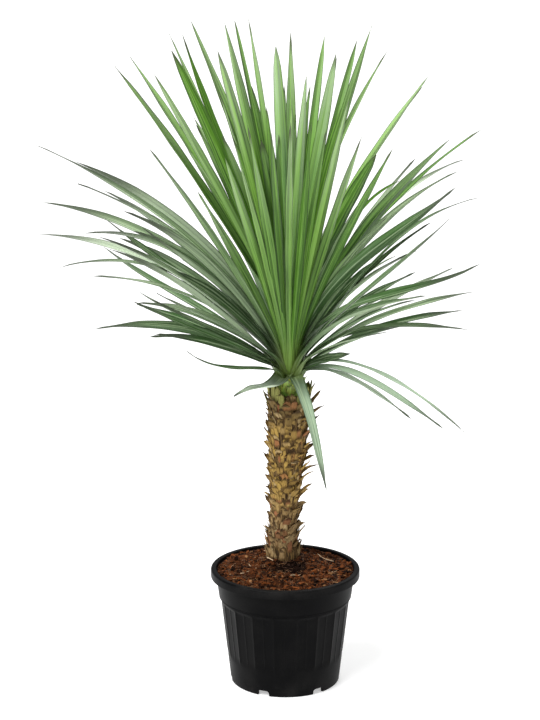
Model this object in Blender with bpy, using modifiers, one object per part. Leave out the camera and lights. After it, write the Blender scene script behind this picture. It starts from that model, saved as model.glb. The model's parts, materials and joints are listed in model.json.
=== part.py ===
"""Potted cordyline: a crown of sword-shaped leaves on a stubbly trunk, standing in a fluted nursery pot.

Metres, +Z up, the viewer at -Y. The origin is the middle of the pot's underside, and the plant stands a
little behind the pot's middle.
"""
import math
import random

import bmesh
import bpy
from mathutils import Matrix, Vector

GAP = 0.0003                     # clearance between pieces that touch
UP = Vector((0, 0, 1))
GOLDEN_ANGLE = math.radians(137.5)

# The pot: a 30 cm nursery container.
POT_HEIGHT = 0.235
RIM_RADIUS = 0.150
RIM_DEPTH = 0.017
POT_WALL = 0.0025
COLLAR_RADII = (0.1335, 0.1415)  # the plain collar under the rim, at its foot and at the top
COLLAR_FOOT = 0.176
COLLAR_STEP = 0.002
WALL_RADII = (0.110, 0.130)      # the wall below the collar, at the ground and under the collar
FLOOR_HEIGHT = 0.012             # the floor stands clear of the ground, so that water runs out
PAD_RADIUS = 0.040               # the flat middle of the underside
POT_STEPS = 54
FLUTES = 18
FLUTE_DEPTH = 0.0022
FLUTE_TOP = 0.168
FLUTE_BOTTOM = 0.060
NOTCHES = 6
NOTCH_WIDTH = 0.024
NOTCH_HEIGHT = 0.011
FIRST_NOTCH = math.radians(-113)
DRAIN_HOLES = 6
DRAIN_RADIUS = 0.005
DRAIN_RING = 0.074

# The potting mix, almost level with the rim and a little higher round the trunk.
MIX_EDGE = 0.230
MIX_MIDDLE = 0.248
MIX_STEPS = 36

# The trunk, with its foot in the mix.
STEM_BACK = 0.045                # how far the plant stands behind the pot's middle
TRUNK_FOOT = 0.175
TRUNK_TOP = 0.583
TRUNK_SIDES = 16
TRUNK_SHAPE = ((TRUNK_FOOT, 0.034), (0.250, 0.034), (0.272, 0.030), (0.298, 0.026), (0.340, 0.0265),
               (0.370, 0.029), (0.405, 0.031), (0.440, 0.034), (0.475, 0.037), (0.505, 0.039),
               (0.550, 0.041), (TRUNK_TOP, 0.035))   # stations of (height, radius)
STUBS = 154
STUB_LOWEST = MIX_MIDDLE + 0.005
STUB_HIGHEST = TRUNK_TOP - 0.010
STUB_JITTER = 0.12               # radians of azimuth
STUB_LENGTHS = (0.024, 0.044)
STUB_WIDTHS = (0.017, 0.025)
STUB_LEANS = (math.radians(18), math.radians(44))
RIGHT_LONGER = 0.16              # stubs are longer at the right and shorter at the left,
RIGHT_LEAN = math.radians(9)     # lean out further at the right,
FRONT_LEAN = 0.5                 # and lie close to the stem in front
STUB_THICKNESS = 0.008
STUB_BLUNTNESS = 0.22            # the share of a stub's size that is left at its end
STUB_SINK = 0.006
SHEATHS = 9                      # broad green leaf bases that wrap the neck
SHEATH_SIZE = (0.009, 0.026, 0.022)
SHEATH_LEAN = math.radians(17)
SHEATH_RISE = (0.0020, 0.0034, 0.0027)   # above the trunk's top, in turn

# The stem goes on inside the crown in three lengths, each with its own age of leaf.
NECK_TOP = 0.610
MATURE_TOP = 0.682
STEM_TIP = 0.770
NECK_RADII = (0.027, 0.024)
CROWN_RADIUS = 0.0245
HEART_RADIUS = 0.022
TIP_RADIUS = 0.008
STEM_SIDES = 12

# The crown: leaf lengths and leans are taken from its heart.
CROWN_HEART = Vector((0.008, STEM_BACK, 0.672))
YOUNG_FILL = 38
YOUNG_SPREAD = math.radians(21)
YOUNG_JITTER = 0.2               # radians of azimuth
FAN_TILT = math.radians(-8)
MATURE_FILL = 27
MATURE_LEANS = (42, 80)          # degrees, from the first filling leaf to the last
MATURE_JITTER = (-3, 3)
RIGHT_SHORTER = 0.36             # the leaves that the photograph shows in full reach further than the others,
LEFT_SHORTER = 0.20              # most of all at the right
LOW_SHORTER = 0.24               # the lowest leaves are shorter
OPEN_FRONT = math.radians(38)    # half the width of the sector towards the viewer with no spreading leaves
FRONT_FILL = 9
FRONT_SECTOR = math.radians(27)  # half the width of the sector that the front fill takes
FRONT_LEANS = (31, 38)
LIGHT = Vector((0.1, -1.0, 0.7))
TURN_TO_LIGHT = 0.5              # how far a leaf turns its upper face to the light
TURN_SHARE = 0.25                # the share of its length in which it does so
FLATTEST_LEAN = math.radians(95)
LEAF_FOLD = math.radians(13)
LEAF_THICKNESS = 0.0022
YOUNG_CUTS = (0.12, 0.48, 0.88)
ARCHED_CUTS = (0.10, 0.34, 0.62, 0.88)

# Ranges for the leaves that fill the crown: length and width in metres, start above and end below the straight
# line to the tip in degrees, and roll either way.
YOUNG_RANGES = ((0.42, 0.53), (0.014, 0.022), (0, 4), (1, 5))
MATURE_RANGES = ((0.44, 0.55), (0.015, 0.023), (10, 22), (8, 24))
FRONT_RANGES = ((0.50, 0.62), (0.014, 0.020), (2, 6), (1, 4))
FILL_ROLL = 45
MARKED_ROLL = 22

# Leaves that give the crown its outline. Each row is the tip's place (x, y, z) from the crown's heart, how far
# the leaf starts above the straight line to its tip and how far it ends below it, in degrees, and its width in
# millimetres.
YOUNG_TIPS = (
    (-.327, -.11, .563, 3, 3, 26),
    (-.317, .10, .571, 6, 4, 20),
    (-.244, -.25, .557, 4, 3, 15),
    (-.234, .02, .619, 2, 2, 15),
    (-.216, -.19, .595, 2, 3, 24),
    (-.214, .13, .612, 2, -4, 21),
    (-.193, .02, .646, 8, 5, 21),
    (-.130, -.25, .597, 2, 3, 21),
    (-.123, -.09, .642, 1, 2, 22),
    (-.110, .12, .640, 3, 3, 16),
    (-.079, -.08, .650, 1, 2, 16),
    (-.027, -.18, .602, 1, 3, 24),
    (.000, -.13, .626, 1, 1, 22),
    (.028, -.27, .555, 2, 3, 20),
    (.069, .17, .610, 1, 2, 18),
    (.083, -.17, .590, 2, 3, 23),
    (.097, .27, .565, 2, 3, 20),
    (.137, .24, .599, 4, 4, 18),
    (.152, -.08, .637, 2, 3, 24),
    (.181, -.07, .588, 14, 12, 15),
    (.252, -.18, .550, 14, 9, 14),
    (.260, .09, .512, 14, 9, 12),
    (.157, -.20, .408, 7, 4, 28),
)
MATURE_TIPS = (
    (-.247, -.36, .436, 6, 5, 14),
    (-.491, -.02, .408, 25, 18, 18),
    (-.385, -.27, .402, 24, 20, 22),
    (-.393, -.18, .352, 25, 20, 18),
    (-.393, .28, .284, 16, 18, 19),
    (-.482, -.02, .297, 31, 28, 22),
    (-.293, -.34, .322, 12, 18, 24),
    (-.362, -.34, .283, 23, 32, 26),
    (-.467, -.17, .256, 23, 26, 24),
    (-.404, .36, .152, 8, -5, 20),
    (-.414, -.30, .215, 33, 36, 16),
    (-.346, -.38, .213, 20, 18, 22),
    (-.336, .45, .037, 10, -6, 18),
    (-.229, -.46, .197, 10, 0, 18),
    (-.272, -.43, .177, 3, -2, 18),
    (-.250, -.30, .157, 6, -2, 20),
    (-.351, -.33, .108, 17, 19, 26),
    (-.240, -.36, .105, 6, 8, 20),
    (-.181, -.43, .090, 4, -14, 13),
    (-.171, -.20, .341, 6, 4, 18),
    (-.352, -.10, .276, 8, 0, 18),
    (-.312, -.42, .267, 3, 10, 24),
    (-.264, -.30, .287, 16, 4, 22),
    (-.339, -.32, .273, 9, 12, 24),
    (.181, -.31, .431, 8, 5, 16),
    (.269, .35, .345, 16, 13, 14),
    (.285, -.25, .440, 17, 12, 26),
    (.371, .01, .436, 20, 18, 15),
    (.363, .24, .354, 30, 32, 15),
    (.299, -.27, .385, 20, 22, 20),
    (.285, -.40, .373, 31, 6, 24),
    (.206, -.10, .348, 5, 34, 14),
    (.258, -.20, .283, 12, 12, 14),
    (.336, -.28, .339, 10, 26, 22),
    (.269, -.45, .324, 8, -2, 28),
    (.332, -.38, .236, 38, -2, 24),
    (.364, .42, .098, 12, 6, 16),
    (.231, -.47, .195, 19, 10, 26),
    (.315, -.42, .193, 12, 8, 22),
    (.385, .41, .003, 16, 9, 16),
    (.314, -.36, .114, 28, 16, 14),
    (.119, -.09, .012, 18, 8, 20),
    (.236, -.10, -.115, 60, 20, 12),
    (.292, -.19, -.112, 56, 18, 15),
    (.323, -.26, -.100, 56, 26, 11),
)
OLD_TIPS = (
    (-.105, -.23, -.040, 10, 10, 26),
    (.070, -.22, -.226, 68, 12, 21),
)

# The blade's width along its length, as shares of its length and of its full width.
BLADE_OUTLINE = ((0, .60), (.08, .52), (.22, .76), (.42, 1), (.62, 1), (.80, .84), (.92, .54), (1, .02))


def clear_scene():
    for item in list(bpy.data.objects):
        bpy.data.objects.remove(item)


def make_collection(name):
    collection = bpy.data.collections.new(name)
    bpy.context.scene.collection.children.link(collection)
    return collection


def make_material(name, colour, roughness):
    material = bpy.data.materials.new(name)
    material.use_nodes = True
    shader = material.node_tree.nodes["Principled BSDF"]
    shader.inputs["Base Color"].default_value = (*colour, 1)
    shader.inputs["Roughness"].default_value = roughness
    shader.inputs["Metallic"].default_value = 0
    return material


def link_mesh(name, mesh, collection):
    item = bpy.data.objects.new(name, mesh)
    collection.objects.link(item)
    return item


def link_bmesh(name, shape, collection):
    mesh = bpy.data.meshes.new(name)
    shape.to_mesh(mesh)
    shape.free()
    return link_mesh(name, mesh, collection)


def evaluated_mesh(item):
    return bpy.data.meshes.new_from_object(item.evaluated_get(bpy.context.evaluated_depsgraph_get()))


def turned(name, profile, steps, collection):
    """Turn a profile of (radius, height) points, from the top of the axis round to its foot, into a mesh."""
    mesh = bpy.data.meshes.new(name)
    points = [(radius, 0, height) for radius, height in profile]
    mesh.from_pydata(points, [(i, i + 1) for i in range(len(points) - 1)], [])
    item = link_mesh(name, mesh, collection)
    screw = item.modifiers.new("Turn", "SCREW")
    screw.steps = steps
    screw.render_steps = steps
    screw.use_merge_vertices = True
    screw.merge_threshold = 0.00005
    item.data = evaluated_mesh(item)
    item.modifiers.clear()
    return item


def boolean(item, operation, collection, solver):
    """Add or cut every object of a collection in one step, and apply it."""
    step = item.modifiers.new(operation.title(), "BOOLEAN")
    step.operation = operation
    step.operand_type = "COLLECTION"
    step.collection = collection
    step.solver = solver
    item.data = evaluated_mesh(item)
    item.modifiers.clear()
    for other in list(collection.objects):
        bpy.data.objects.remove(other)
    bpy.data.collections.remove(collection)


def finish_piece(item, material, sharp_angle):
    item.data.materials.clear()
    item.data.materials.append(material)
    item.data.shade_smooth()
    item.data.set_sharp_from_angle(angle=math.radians(sharp_angle))


def smooth_step(value):
    value = min(1, max(0, value))
    return value * value * (3 - 2 * value)


# The pot

def pot_outer_radius(height):
    """The outside of the wall: a plain collar, a small step in at its foot, and the fluted wall below."""
    if height >= COLLAR_FOOT:
        share = (height - COLLAR_FOOT) / (POT_HEIGHT - COLLAR_FOOT)
        return COLLAR_RADII[0] + (COLLAR_RADII[1] - COLLAR_RADII[0]) * share
    return WALL_RADII[0] + (WALL_RADII[1] - WALL_RADII[0]) * height / COLLAR_FOOT


def pot_inner_radius(height):
    if height >= COLLAR_FOOT:
        return pot_outer_radius(height) - POT_WALL
    return pot_outer_radius(height) - POT_WALL - FLUTE_DEPTH


def pot_profile():
    edge = 0.0008
    floor_top = FLOOR_HEIGHT + POT_WALL
    skirt = POT_HEIGHT - RIM_DEPTH
    profile = [(0, floor_top), (pot_inner_radius(floor_top), floor_top),
               (pot_inner_radius(COLLAR_FOOT - COLLAR_STEP), COLLAR_FOOT - COLLAR_STEP),
               (pot_inner_radius(COLLAR_FOOT), COLLAR_FOOT),
               (pot_inner_radius(POT_HEIGHT), POT_HEIGHT - edge),
               (pot_inner_radius(POT_HEIGHT) + edge, POT_HEIGHT),
               (RIM_RADIUS - 3 * edge, POT_HEIGHT), (RIM_RADIUS - edge, POT_HEIGHT - edge),
               (RIM_RADIUS, POT_HEIGHT - 3 * edge), (RIM_RADIUS, skirt + edge),
               (RIM_RADIUS - edge, skirt), (RIM_RADIUS - POT_WALL, skirt),
               (RIM_RADIUS - POT_WALL, POT_HEIGHT - POT_WALL)]
    for height in (POT_HEIGHT - POT_WALL, COLLAR_FOOT, COLLAR_FOOT - COLLAR_STEP, FLUTE_TOP, FLUTE_BOTTOM,
                   FLUTE_BOTTOM - 0.008, edge):
        profile.append((pot_outer_radius(height), height))
    foot_inner = WALL_RADII[0] - 2.5 * POT_WALL
    profile += [(WALL_RADII[0] - edge, 0), (foot_inner, 0), (foot_inner, FLOOR_HEIGHT),
                (PAD_RADIUS + FLOOR_HEIGHT / 2, FLOOR_HEIGHT), (PAD_RADIUS, 0), (0, 0)]
    return profile


def press_flutes(mesh):
    """Push the outer wall in between its ribs, every POT_STEPS / FLUTES steps of the turned shape."""
    margin = 0.0005
    for vertex in mesh.vertices:
        radius = math.hypot(vertex.co.x, vertex.co.y)
        height = vertex.co.z
        on_outside = abs(radius - pot_outer_radius(height)) < margin
        if on_outside and FLUTE_BOTTOM - margin < height < FLUTE_TOP + margin:
            angle = math.atan2(vertex.co.y, vertex.co.x)
            depth = FLUTE_DEPTH * (1 - math.cos(angle * FLUTES)) / 2
            vertex.co.x *= (radius - depth) / radius
            vertex.co.y *= (radius - depth) / radius


def foot_cutters():
    """Round-topped notches through the foot ring, and the drain holes in the raised floor."""
    cutters = make_collection("pot cutters")
    for i in range(NOTCHES):
        turn = Matrix.Rotation(FIRST_NOTCH + i * math.tau / NOTCHES, 4, "Z")
        notch = bmesh.new()
        bmesh.ops.create_cube(notch, size=1)
        bmesh.ops.scale(notch, vec=(0.030, NOTCH_WIDTH, 2 * NOTCH_HEIGHT), verts=notch.verts)
        top_edges = [edge for edge in notch.edges
                     if all(v.co.z > 0 for v in edge.verts) and edge.verts[0].co.x * edge.verts[1].co.x < 0]
        bmesh.ops.bevel(notch, geom=top_edges, offset=NOTCH_HEIGHT / 2, segments=2, affect="EDGES", profile=0.5,
                        material=-1)
        bmesh.ops.transform(notch, matrix=turn @ Matrix.Translation((WALL_RADII[0], 0, 0)), verts=notch.verts)
        link_bmesh("notch", notch, cutters)
    for i in range(DRAIN_HOLES):
        turn = Matrix.Rotation((i + 0.5) * math.tau / DRAIN_HOLES, 4, "Z")
        place = turn @ Matrix.Translation((DRAIN_RING, 0, FLOOR_HEIGHT))
        hole = bmesh.new()
        bmesh.ops.create_cone(hole, cap_ends=True, segments=12, radius1=DRAIN_RADIUS, radius2=DRAIN_RADIUS,
                              depth=4 * POT_WALL)
        bmesh.ops.transform(hole, matrix=place, verts=hole.verts)
        link_bmesh("drain hole", hole, cutters)
    for cutter in cutters.objects:
        cutter.hide_render = True
        cutter.display_type = "WIRE"
    return cutters


def build_pot(collection):
    pot = turned("nursery_pot", pot_profile(), POT_STEPS, collection)
    press_flutes(pot.data)
    boolean(pot, "DIFFERENCE", foot_cutters(), "EXACT")
    finish_piece(pot, make_material("black pot plastic", (0.012, 0.012, 0.013), 0.45), 28)


# The potting mix

def mix_height(radius):
    share = radius / pot_inner_radius(MIX_EDGE)
    return MIX_EDGE + (MIX_MIDDLE - MIX_EDGE) * (1 - smooth_step(share))


def build_mix(collection):
    floor = FLOOR_HEIGHT + POT_WALL + GAP
    edge = pot_inner_radius(MIX_EDGE) - GAP
    rings = [edge * share for share in (0, 0.25, 0.45, 0.65, 0.85, 1)]
    profile = [(radius, mix_height(radius)) for radius in rings]
    for height in (COLLAR_FOOT, COLLAR_FOOT - COLLAR_STEP, floor):
        profile.append((pot_inner_radius(height) - GAP, height))
    profile.append((0, floor))
    mix = turned("potting_mix", profile, MIX_STEPS, collection)
    hole = bmesh.new()
    depth = POT_HEIGHT
    radius = TRUNK_SHAPE[0][1] + GAP
    bmesh.ops.create_cone(hole, cap_ends=True, segments=TRUNK_SIDES, radius1=radius, radius2=radius,
                          depth=depth)
    foot = stem_axis(TRUNK_FOOT)
    bmesh.ops.translate(hole, vec=(foot.x, foot.y, TRUNK_FOOT - GAP + depth / 2), verts=hole.verts)
    cutters = make_collection("mix cutters")
    cutter = link_bmesh("trunk hole", hole, cutters)
    cutter.hide_render = True
    cutter.display_type = "WIRE"
    boolean(mix, "DIFFERENCE", cutters, "EXACT")
    finish_piece(mix, make_material("bark potting mix", (0.080, 0.032, 0.013), 0.9), 40)


# The stem

def stem_axis(height):
    """The middle of the stem: upright in the mix, then easing a centimetre to the right on its way up."""
    ease = smooth_step((height - MIX_MIDDLE) / (NECK_TOP - MIX_MIDDLE))
    return Vector((-0.005 + 0.013 * ease, STEM_BACK, height))


def stem_length(sides, stations):
    """A closed length of stem through stations of (height, radius), as a cone cut into rings."""
    bottom, top = stations[0][0], stations[-1][0]
    stem = bmesh.new()
    bmesh.ops.create_cone(stem, cap_ends=True, segments=sides, radius1=1, radius2=1, depth=top - bottom)
    bmesh.ops.translate(stem, vec=(0, 0, (bottom + top) / 2), verts=stem.verts)
    for height, _ in stations[1:-1]:
        geometry = stem.verts[:] + stem.edges[:] + stem.faces[:]
        bmesh.ops.bisect_plane(stem, geom=geometry, plane_co=(0, 0, height), plane_no=UP)
    for vertex in stem.verts:
        radius = min(stations, key=lambda station: abs(station[0] - vertex.co.z))[1]
        centre = stem_axis(vertex.co.z)
        vertex.co = centre + Vector((vertex.co.x * radius, vertex.co.y * radius, 0))
    return stem


def trunk_radius(height):
    for (low, start), (high, end) in zip(TRUNK_SHAPE, TRUNK_SHAPE[1:]):
        if height <= high:
            return start + (end - start) * (height - low) / (high - low)
    return TRUNK_SHAPE[-1][1]


def stub(height, azimuth, stem_radius, size, lean):
    """The stump of an old leaf: a flat blunt wedge, sunk in the stem and pointing up and out."""
    wedge = bmesh.new()
    bmesh.ops.create_cone(wedge, cap_ends=True, segments=4, radius1=0.5, radius2=0.5 * STUB_BLUNTNESS, depth=1)
    bmesh.ops.translate(wedge, vec=(0, 0, 0.5), verts=wedge.verts)
    bmesh.ops.scale(wedge, vec=size, verts=wedge.verts)
    out = Vector((math.cos(azimuth), math.sin(azimuth), 0))
    seat = stem_axis(height) + out * (stem_radius - STUB_SINK)
    place = Matrix.Translation(seat) @ Matrix.Rotation(azimuth, 4, "Z") @ Matrix.Rotation(lean, 4, "Y")
    bmesh.ops.transform(wedge, matrix=place, verts=wedge.verts)
    return wedge


def stub_habit(azimuth, length, lean):
    """Fit a stub's length and lean to its side of the trunk."""
    right, front = math.cos(azimuth), max(0, -math.sin(azimuth))
    return length * (1 + RIGHT_LONGER * right), lean * (1 - FRONT_LEAN * front) + RIGHT_LEAN * max(0, right)


def build_trunk(collection):
    draw = random.Random(7)
    trunk = link_bmesh("trunk", stem_length(TRUNK_SIDES, TRUNK_SHAPE), collection)
    stubs = make_collection("trunk stubs")
    for i in range(STUBS):
        height = STUB_LOWEST + (STUB_HIGHEST - STUB_LOWEST) * i / (STUBS - 1)
        azimuth = i * GOLDEN_ANGLE + draw.uniform(-STUB_JITTER, STUB_JITTER)
        length = draw.uniform(*STUB_LENGTHS)
        width = draw.uniform(*STUB_WIDTHS)
        length, lean = stub_habit(azimuth, length, draw.uniform(*STUB_LEANS))
        size = (STUB_THICKNESS, width, length)
        link_bmesh("stub", stub(height, azimuth, trunk_radius(height), size, lean), stubs)
    boolean(trunk, "UNION", stubs, "MANIFOLD")
    finish_piece(trunk, make_material("stubbly trunk", (0.180, 0.115, 0.050), 0.85), 30)


# The leaves

class Leaf:
    """A sword-shaped blade on a curve from its root to its tip."""

    def __init__(self, root, tip, rise, fall, width, roll):
        chord = tip - root
        along = chord.normalized()
        above = (UP - along * along.z).normalized()
        rise, fall = math.radians(rise), math.radians(fall)
        third = chord.length / 3
        self.handles = (root, root + third * (math.cos(rise) * along + math.sin(rise) * above),
                        tip - third * (math.cos(fall) * along - math.sin(fall) * above), tip)
        self.flat = along.cross(UP).normalized()
        self.width = width
        facing = math.atan2(LIGHT.dot(self.flat), LIGHT.dot(self.flat.cross(along)))
        facing = (facing + math.pi / 2) % math.pi - math.pi / 2
        self.roll = TURN_TO_LIGHT * facing + roll

    def centre(self, share):
        a, b, c, d = self.handles
        rest = 1 - share
        return rest ** 3 * a + 3 * rest ** 2 * share * b + 3 * rest * share ** 2 * c + share ** 3 * d

    def axes(self, share):
        """The blade's side and upper face directions at a share of its length."""
        a, b, c, d = self.handles
        rest = 1 - share
        along = (rest ** 2 * (b - a) + 2 * rest * share * (c - b) + share ** 2 * (d - c)).normalized()
        side = (self.flat - along * self.flat.dot(along)).normalized()
        twist = Matrix.Rotation(self.roll * min(1, share / TURN_SHARE), 3, along)
        side = twist @ side
        return side, side.cross(along)


def outline_width(share):
    for (start, low), (end, high) in zip(BLADE_OUTLINE, BLADE_OUTLINE[1:]):
        if share <= end:
            return low + (high - low) * (share - start) / (end - start)
    return BLADE_OUTLINE[-1][1]


def blade(leaf, cuts):
    """A long four-sided cone, cut across and bent onto the leaf's curve, folded like a shallow keel."""
    shape = bmesh.new()
    bmesh.ops.create_cone(shape, cap_ends=True, segments=4, radius1=1, radius2=0, depth=1)
    bmesh.ops.translate(shape, vec=(0, 0, 0.5), verts=shape.verts)
    for cut in cuts:
        geometry = shape.verts[:] + shape.edges[:] + shape.faces[:]
        bmesh.ops.bisect_plane(shape, geom=geometry, plane_co=(0, 0, cut), plane_no=UP)
    for vertex in shape.verts:
        share = vertex.co.z
        through, across = vertex.co.x, vertex.co.y
        if share < 1:
            through, across = through / (1 - share), across / (1 - share)
        side, face = leaf.axes(share)
        half = leaf.width / 2 * outline_width(share)
        rise = abs(across) * half * math.tan(LEAF_FOLD) + through * LEAF_THICKNESS / 2
        vertex.co = leaf.centre(share) + side * across * half + face * rise
    bmesh.ops.triangulate(shape, faces=shape.faces[:], quad_method="SHORT_EDGE")
    return shape


def leaf_root(direction, low, high, inset):
    """Steep leaves grow higher on the stem than spreading ones; a root starts just off the stem's middle."""
    lean = direction.angle(UP)
    height = low + (high - low) * max(0, 1 - lean / FLATTEST_LEAN)
    outward = Vector((direction.x, direction.y, 0)).normalized()
    return stem_axis(height) + outward * inset


def pointing(lean, azimuth):
    return Vector((math.sin(lean) * math.cos(azimuth), math.sin(lean) * math.sin(azimuth), math.cos(lean)))


def marked_leaves(rows, low, high, inset, draw):
    leaves = []
    for x, y, z, rise, fall, width in rows:
        direction = Vector((x, y, z))
        roll = math.radians(draw.uniform(-MARKED_ROLL, MARKED_ROLL))
        root = leaf_root(direction, low, high, inset)
        leaves.append(Leaf(root, CROWN_HEART + direction, rise, fall, width / 1000, roll))
    return leaves


def filling_leaf(direction, low, high, inset, ranges, shorter, draw):
    length, width, rise, fall = [draw.uniform(*limits) for limits in ranges]
    roll = math.radians(draw.uniform(-FILL_ROLL, FILL_ROLL))
    root = leaf_root(direction, low, high, inset)
    return Leaf(root, CROWN_HEART + direction * length * (1 - shorter), rise, fall, width, roll)


def young_leaves(draw):
    """The upright fan: the marked leaves, and others between them spiralling out from the middle."""
    low, high, inset = MATURE_TOP - 0.05, STEM_TIP - 0.012, 0.004
    leaves = marked_leaves(YOUNG_TIPS, low, high, inset, draw)
    for i in range(YOUNG_FILL):
        lean = YOUNG_SPREAD * math.sqrt((i + 0.5) / YOUNG_FILL)
        direction = pointing(lean, i * GOLDEN_ANGLE + draw.uniform(-YOUNG_JITTER, YOUNG_JITTER))
        direction.rotate(Matrix.Rotation(FAN_TILT, 3, "Y"))
        leaves.append(filling_leaf(direction, low, high, inset, YOUNG_RANGES, 0, draw))
    return leaves


def mature_leaves(draw):
    """The spreading leaves under the fan. Those that point at the viewer stand up steeply."""
    low, high, inset = NECK_TOP + 0.006, MATURE_TOP - 0.004, 0.012
    leaves = marked_leaves(MATURE_TIPS, low, high, inset, draw)
    for i in range(MATURE_FILL):
        turn = (i * GOLDEN_ANGLE) % math.tau
        azimuth = -math.pi / 2 + OPEN_FRONT + turn * (1 - OPEN_FRONT / math.pi)
        lean = MATURE_LEANS[0] + (MATURE_LEANS[1] - MATURE_LEANS[0]) * (i + 0.5) / MATURE_FILL
        direction = pointing(math.radians(lean + draw.uniform(*MATURE_JITTER)), azimuth)
        side = RIGHT_SHORTER if math.cos(azimuth) > 0 else LEFT_SHORTER
        shorter = side * abs(math.cos(azimuth)) + LOW_SHORTER * (i / MATURE_FILL) ** 2
        leaves.append(filling_leaf(direction, low, high, inset, MATURE_RANGES, shorter, draw))
    for i in range(FRONT_FILL):
        azimuth = -math.pi / 2 + FRONT_SECTOR * (2 * (i + 0.5) / FRONT_FILL - 1)
        direction = pointing(math.radians(draw.uniform(*FRONT_LEANS)), azimuth)
        leaves.append(filling_leaf(direction, low, high - 0.02, inset, FRONT_RANGES, 0, draw))
    return leaves


def old_leaves(draw):
    """The last pale leaves, which have sunk and hang from the neck."""
    low, high, inset = TRUNK_TOP + 0.012, NECK_TOP - 0.011, 0.020
    return marked_leaves(OLD_TIPS, low, high, inset, draw)


def fill_cavities(item):
    """Leaves that cross can close off a small hollow between them: take its inner shell away."""
    shape = bmesh.new()
    shape.from_mesh(item.data)
    unseen = set(shape.faces)
    while unseen:
        shell = {unseen.pop()}
        border = list(shell)
        while border:
            for edge in border.pop().edges:
                for face in edge.link_faces:
                    if face in unseen:
                        unseen.remove(face)
                        shell.add(face)
                        border.append(face)
        volume = sum(face.calc_area() * face.normal.dot(face.calc_center_median()) for face in shell) / 3
        if volume < 0:
            bmesh.ops.delete(shape, geom=list(shell), context="FACES")
    shape.to_mesh(item.data)
    shape.free()


def build_leaves(name, stations, leaves, cuts, extras, material, collection):
    """Join one age of leaves, and any extra shapes, to their length of stem."""
    stem = link_bmesh(name, stem_length(STEM_SIDES, stations), collection)
    blades = make_collection(name + " blades")
    for leaf in leaves:
        link_bmesh("blade", blade(leaf, cuts), blades)
    for extra in extras:
        link_bmesh("extra", extra, blades)
    boolean(stem, "UNION", blades, "MANIFOLD")
    fill_cavities(stem)
    finish_piece(stem, material, 35)


def neck_sheaths():
    sheaths = []
    for i in range(SHEATHS):
        height = TRUNK_TOP + SHEATH_RISE[i % len(SHEATH_RISE)]
        sheaths.append(stub(height, i * math.tau / SHEATHS, NECK_RADII[0], SHEATH_SIZE, SHEATH_LEAN))
    return sheaths


def build_crown(collection):
    draw = random.Random(11)
    young_stem = ((MATURE_TOP + GAP, HEART_RADIUS), (STEM_TIP, TIP_RADIUS))
    mature_stem = ((NECK_TOP + GAP, CROWN_RADIUS), (MATURE_TOP, HEART_RADIUS))
    neck = ((TRUNK_TOP + GAP, NECK_RADII[0]), (NECK_TOP, NECK_RADII[1]))
    build_leaves("young_leaves", young_stem, young_leaves(draw), YOUNG_CUTS, [],
                 make_material("young green leaf", (0.095, 0.205, 0.030), 0.4), collection)
    build_leaves("mature_leaves", mature_stem, mature_leaves(draw), ARCHED_CUTS, [],
                 make_material("mature green leaf", (0.075, 0.130, 0.050), 0.4), collection)
    build_leaves("old_leaves", neck, old_leaves(draw), ARCHED_CUTS, neck_sheaths(),
                 make_material("pale old leaf", (0.260, 0.380, 0.210), 0.5), collection)


def main():
    clear_scene()
    plant = make_collection("potted cordyline")
    build_pot(plant)
    build_mix(plant)
    build_trunk(plant)
    build_crown(plant)


main()
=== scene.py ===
# %% [markdown]
# # A cordyline in its nursery pot
#
# A cordyline is a house plant with one stubbly trunk and a crown of sword-shaped leaves. Its CAD solids are
# a frame: six plain shapes with the right size and place. This lesson loads them and makes finer pieces in
# their stead. It goes from the ground up: pot, mix, trunk and crown. The neck between the trunk and the
# crown comes last, because it is made of both stubs and leaves.

# %% Load the frame
import json
import math
import random

import bmesh
import bpy
from mathutils import Matrix, Vector, noise

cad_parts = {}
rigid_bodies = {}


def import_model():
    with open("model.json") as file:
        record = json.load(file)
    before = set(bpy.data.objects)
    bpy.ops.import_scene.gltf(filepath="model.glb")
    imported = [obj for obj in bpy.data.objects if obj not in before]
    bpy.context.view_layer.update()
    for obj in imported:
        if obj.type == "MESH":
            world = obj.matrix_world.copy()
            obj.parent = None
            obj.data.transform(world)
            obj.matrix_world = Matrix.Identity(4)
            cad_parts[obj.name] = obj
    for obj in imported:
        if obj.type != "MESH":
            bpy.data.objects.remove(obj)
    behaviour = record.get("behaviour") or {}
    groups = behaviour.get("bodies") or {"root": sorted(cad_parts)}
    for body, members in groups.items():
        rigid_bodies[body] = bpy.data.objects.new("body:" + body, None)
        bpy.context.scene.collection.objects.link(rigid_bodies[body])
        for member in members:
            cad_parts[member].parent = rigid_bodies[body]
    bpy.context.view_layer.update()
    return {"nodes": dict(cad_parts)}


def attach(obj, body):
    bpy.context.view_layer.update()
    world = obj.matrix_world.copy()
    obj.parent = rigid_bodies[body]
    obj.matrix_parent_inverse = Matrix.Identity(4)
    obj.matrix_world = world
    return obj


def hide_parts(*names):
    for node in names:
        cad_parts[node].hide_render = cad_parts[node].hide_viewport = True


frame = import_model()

print("nodes:", ", ".join(sorted(frame["nodes"])))

# %% [markdown]
# ## Camera
#
# The photograph was taken from a little above the highest leaf tip, with a long lens, from a few metres
# away. The ellipse of the pot's rim gives how far the camera looks down, and how much flatter that ellipse
# is than the one of the pot's foot gives how far away it stands. The pot is right of the middle of the
# picture, so the camera is turned a little to the left instead of being shifted.

# %% Set the camera
IMAGE_HEIGHT = 720
FOCAL_PIXELS = 1771
PIXELS_TO_THE_LEFT = 16
CAMERA_PLACE = (0, -3.4, 1.406)
LOOK_DOWN = math.radians(12.35)
LOOK_LEFT = math.atan2(PIXELS_TO_THE_LEFT, FOCAL_PIXELS)


def in_scene(name, data):
    """Put new data into the scene as an object."""
    item = bpy.data.objects.new(name, data)
    bpy.context.scene.collection.objects.link(item)
    return item


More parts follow.
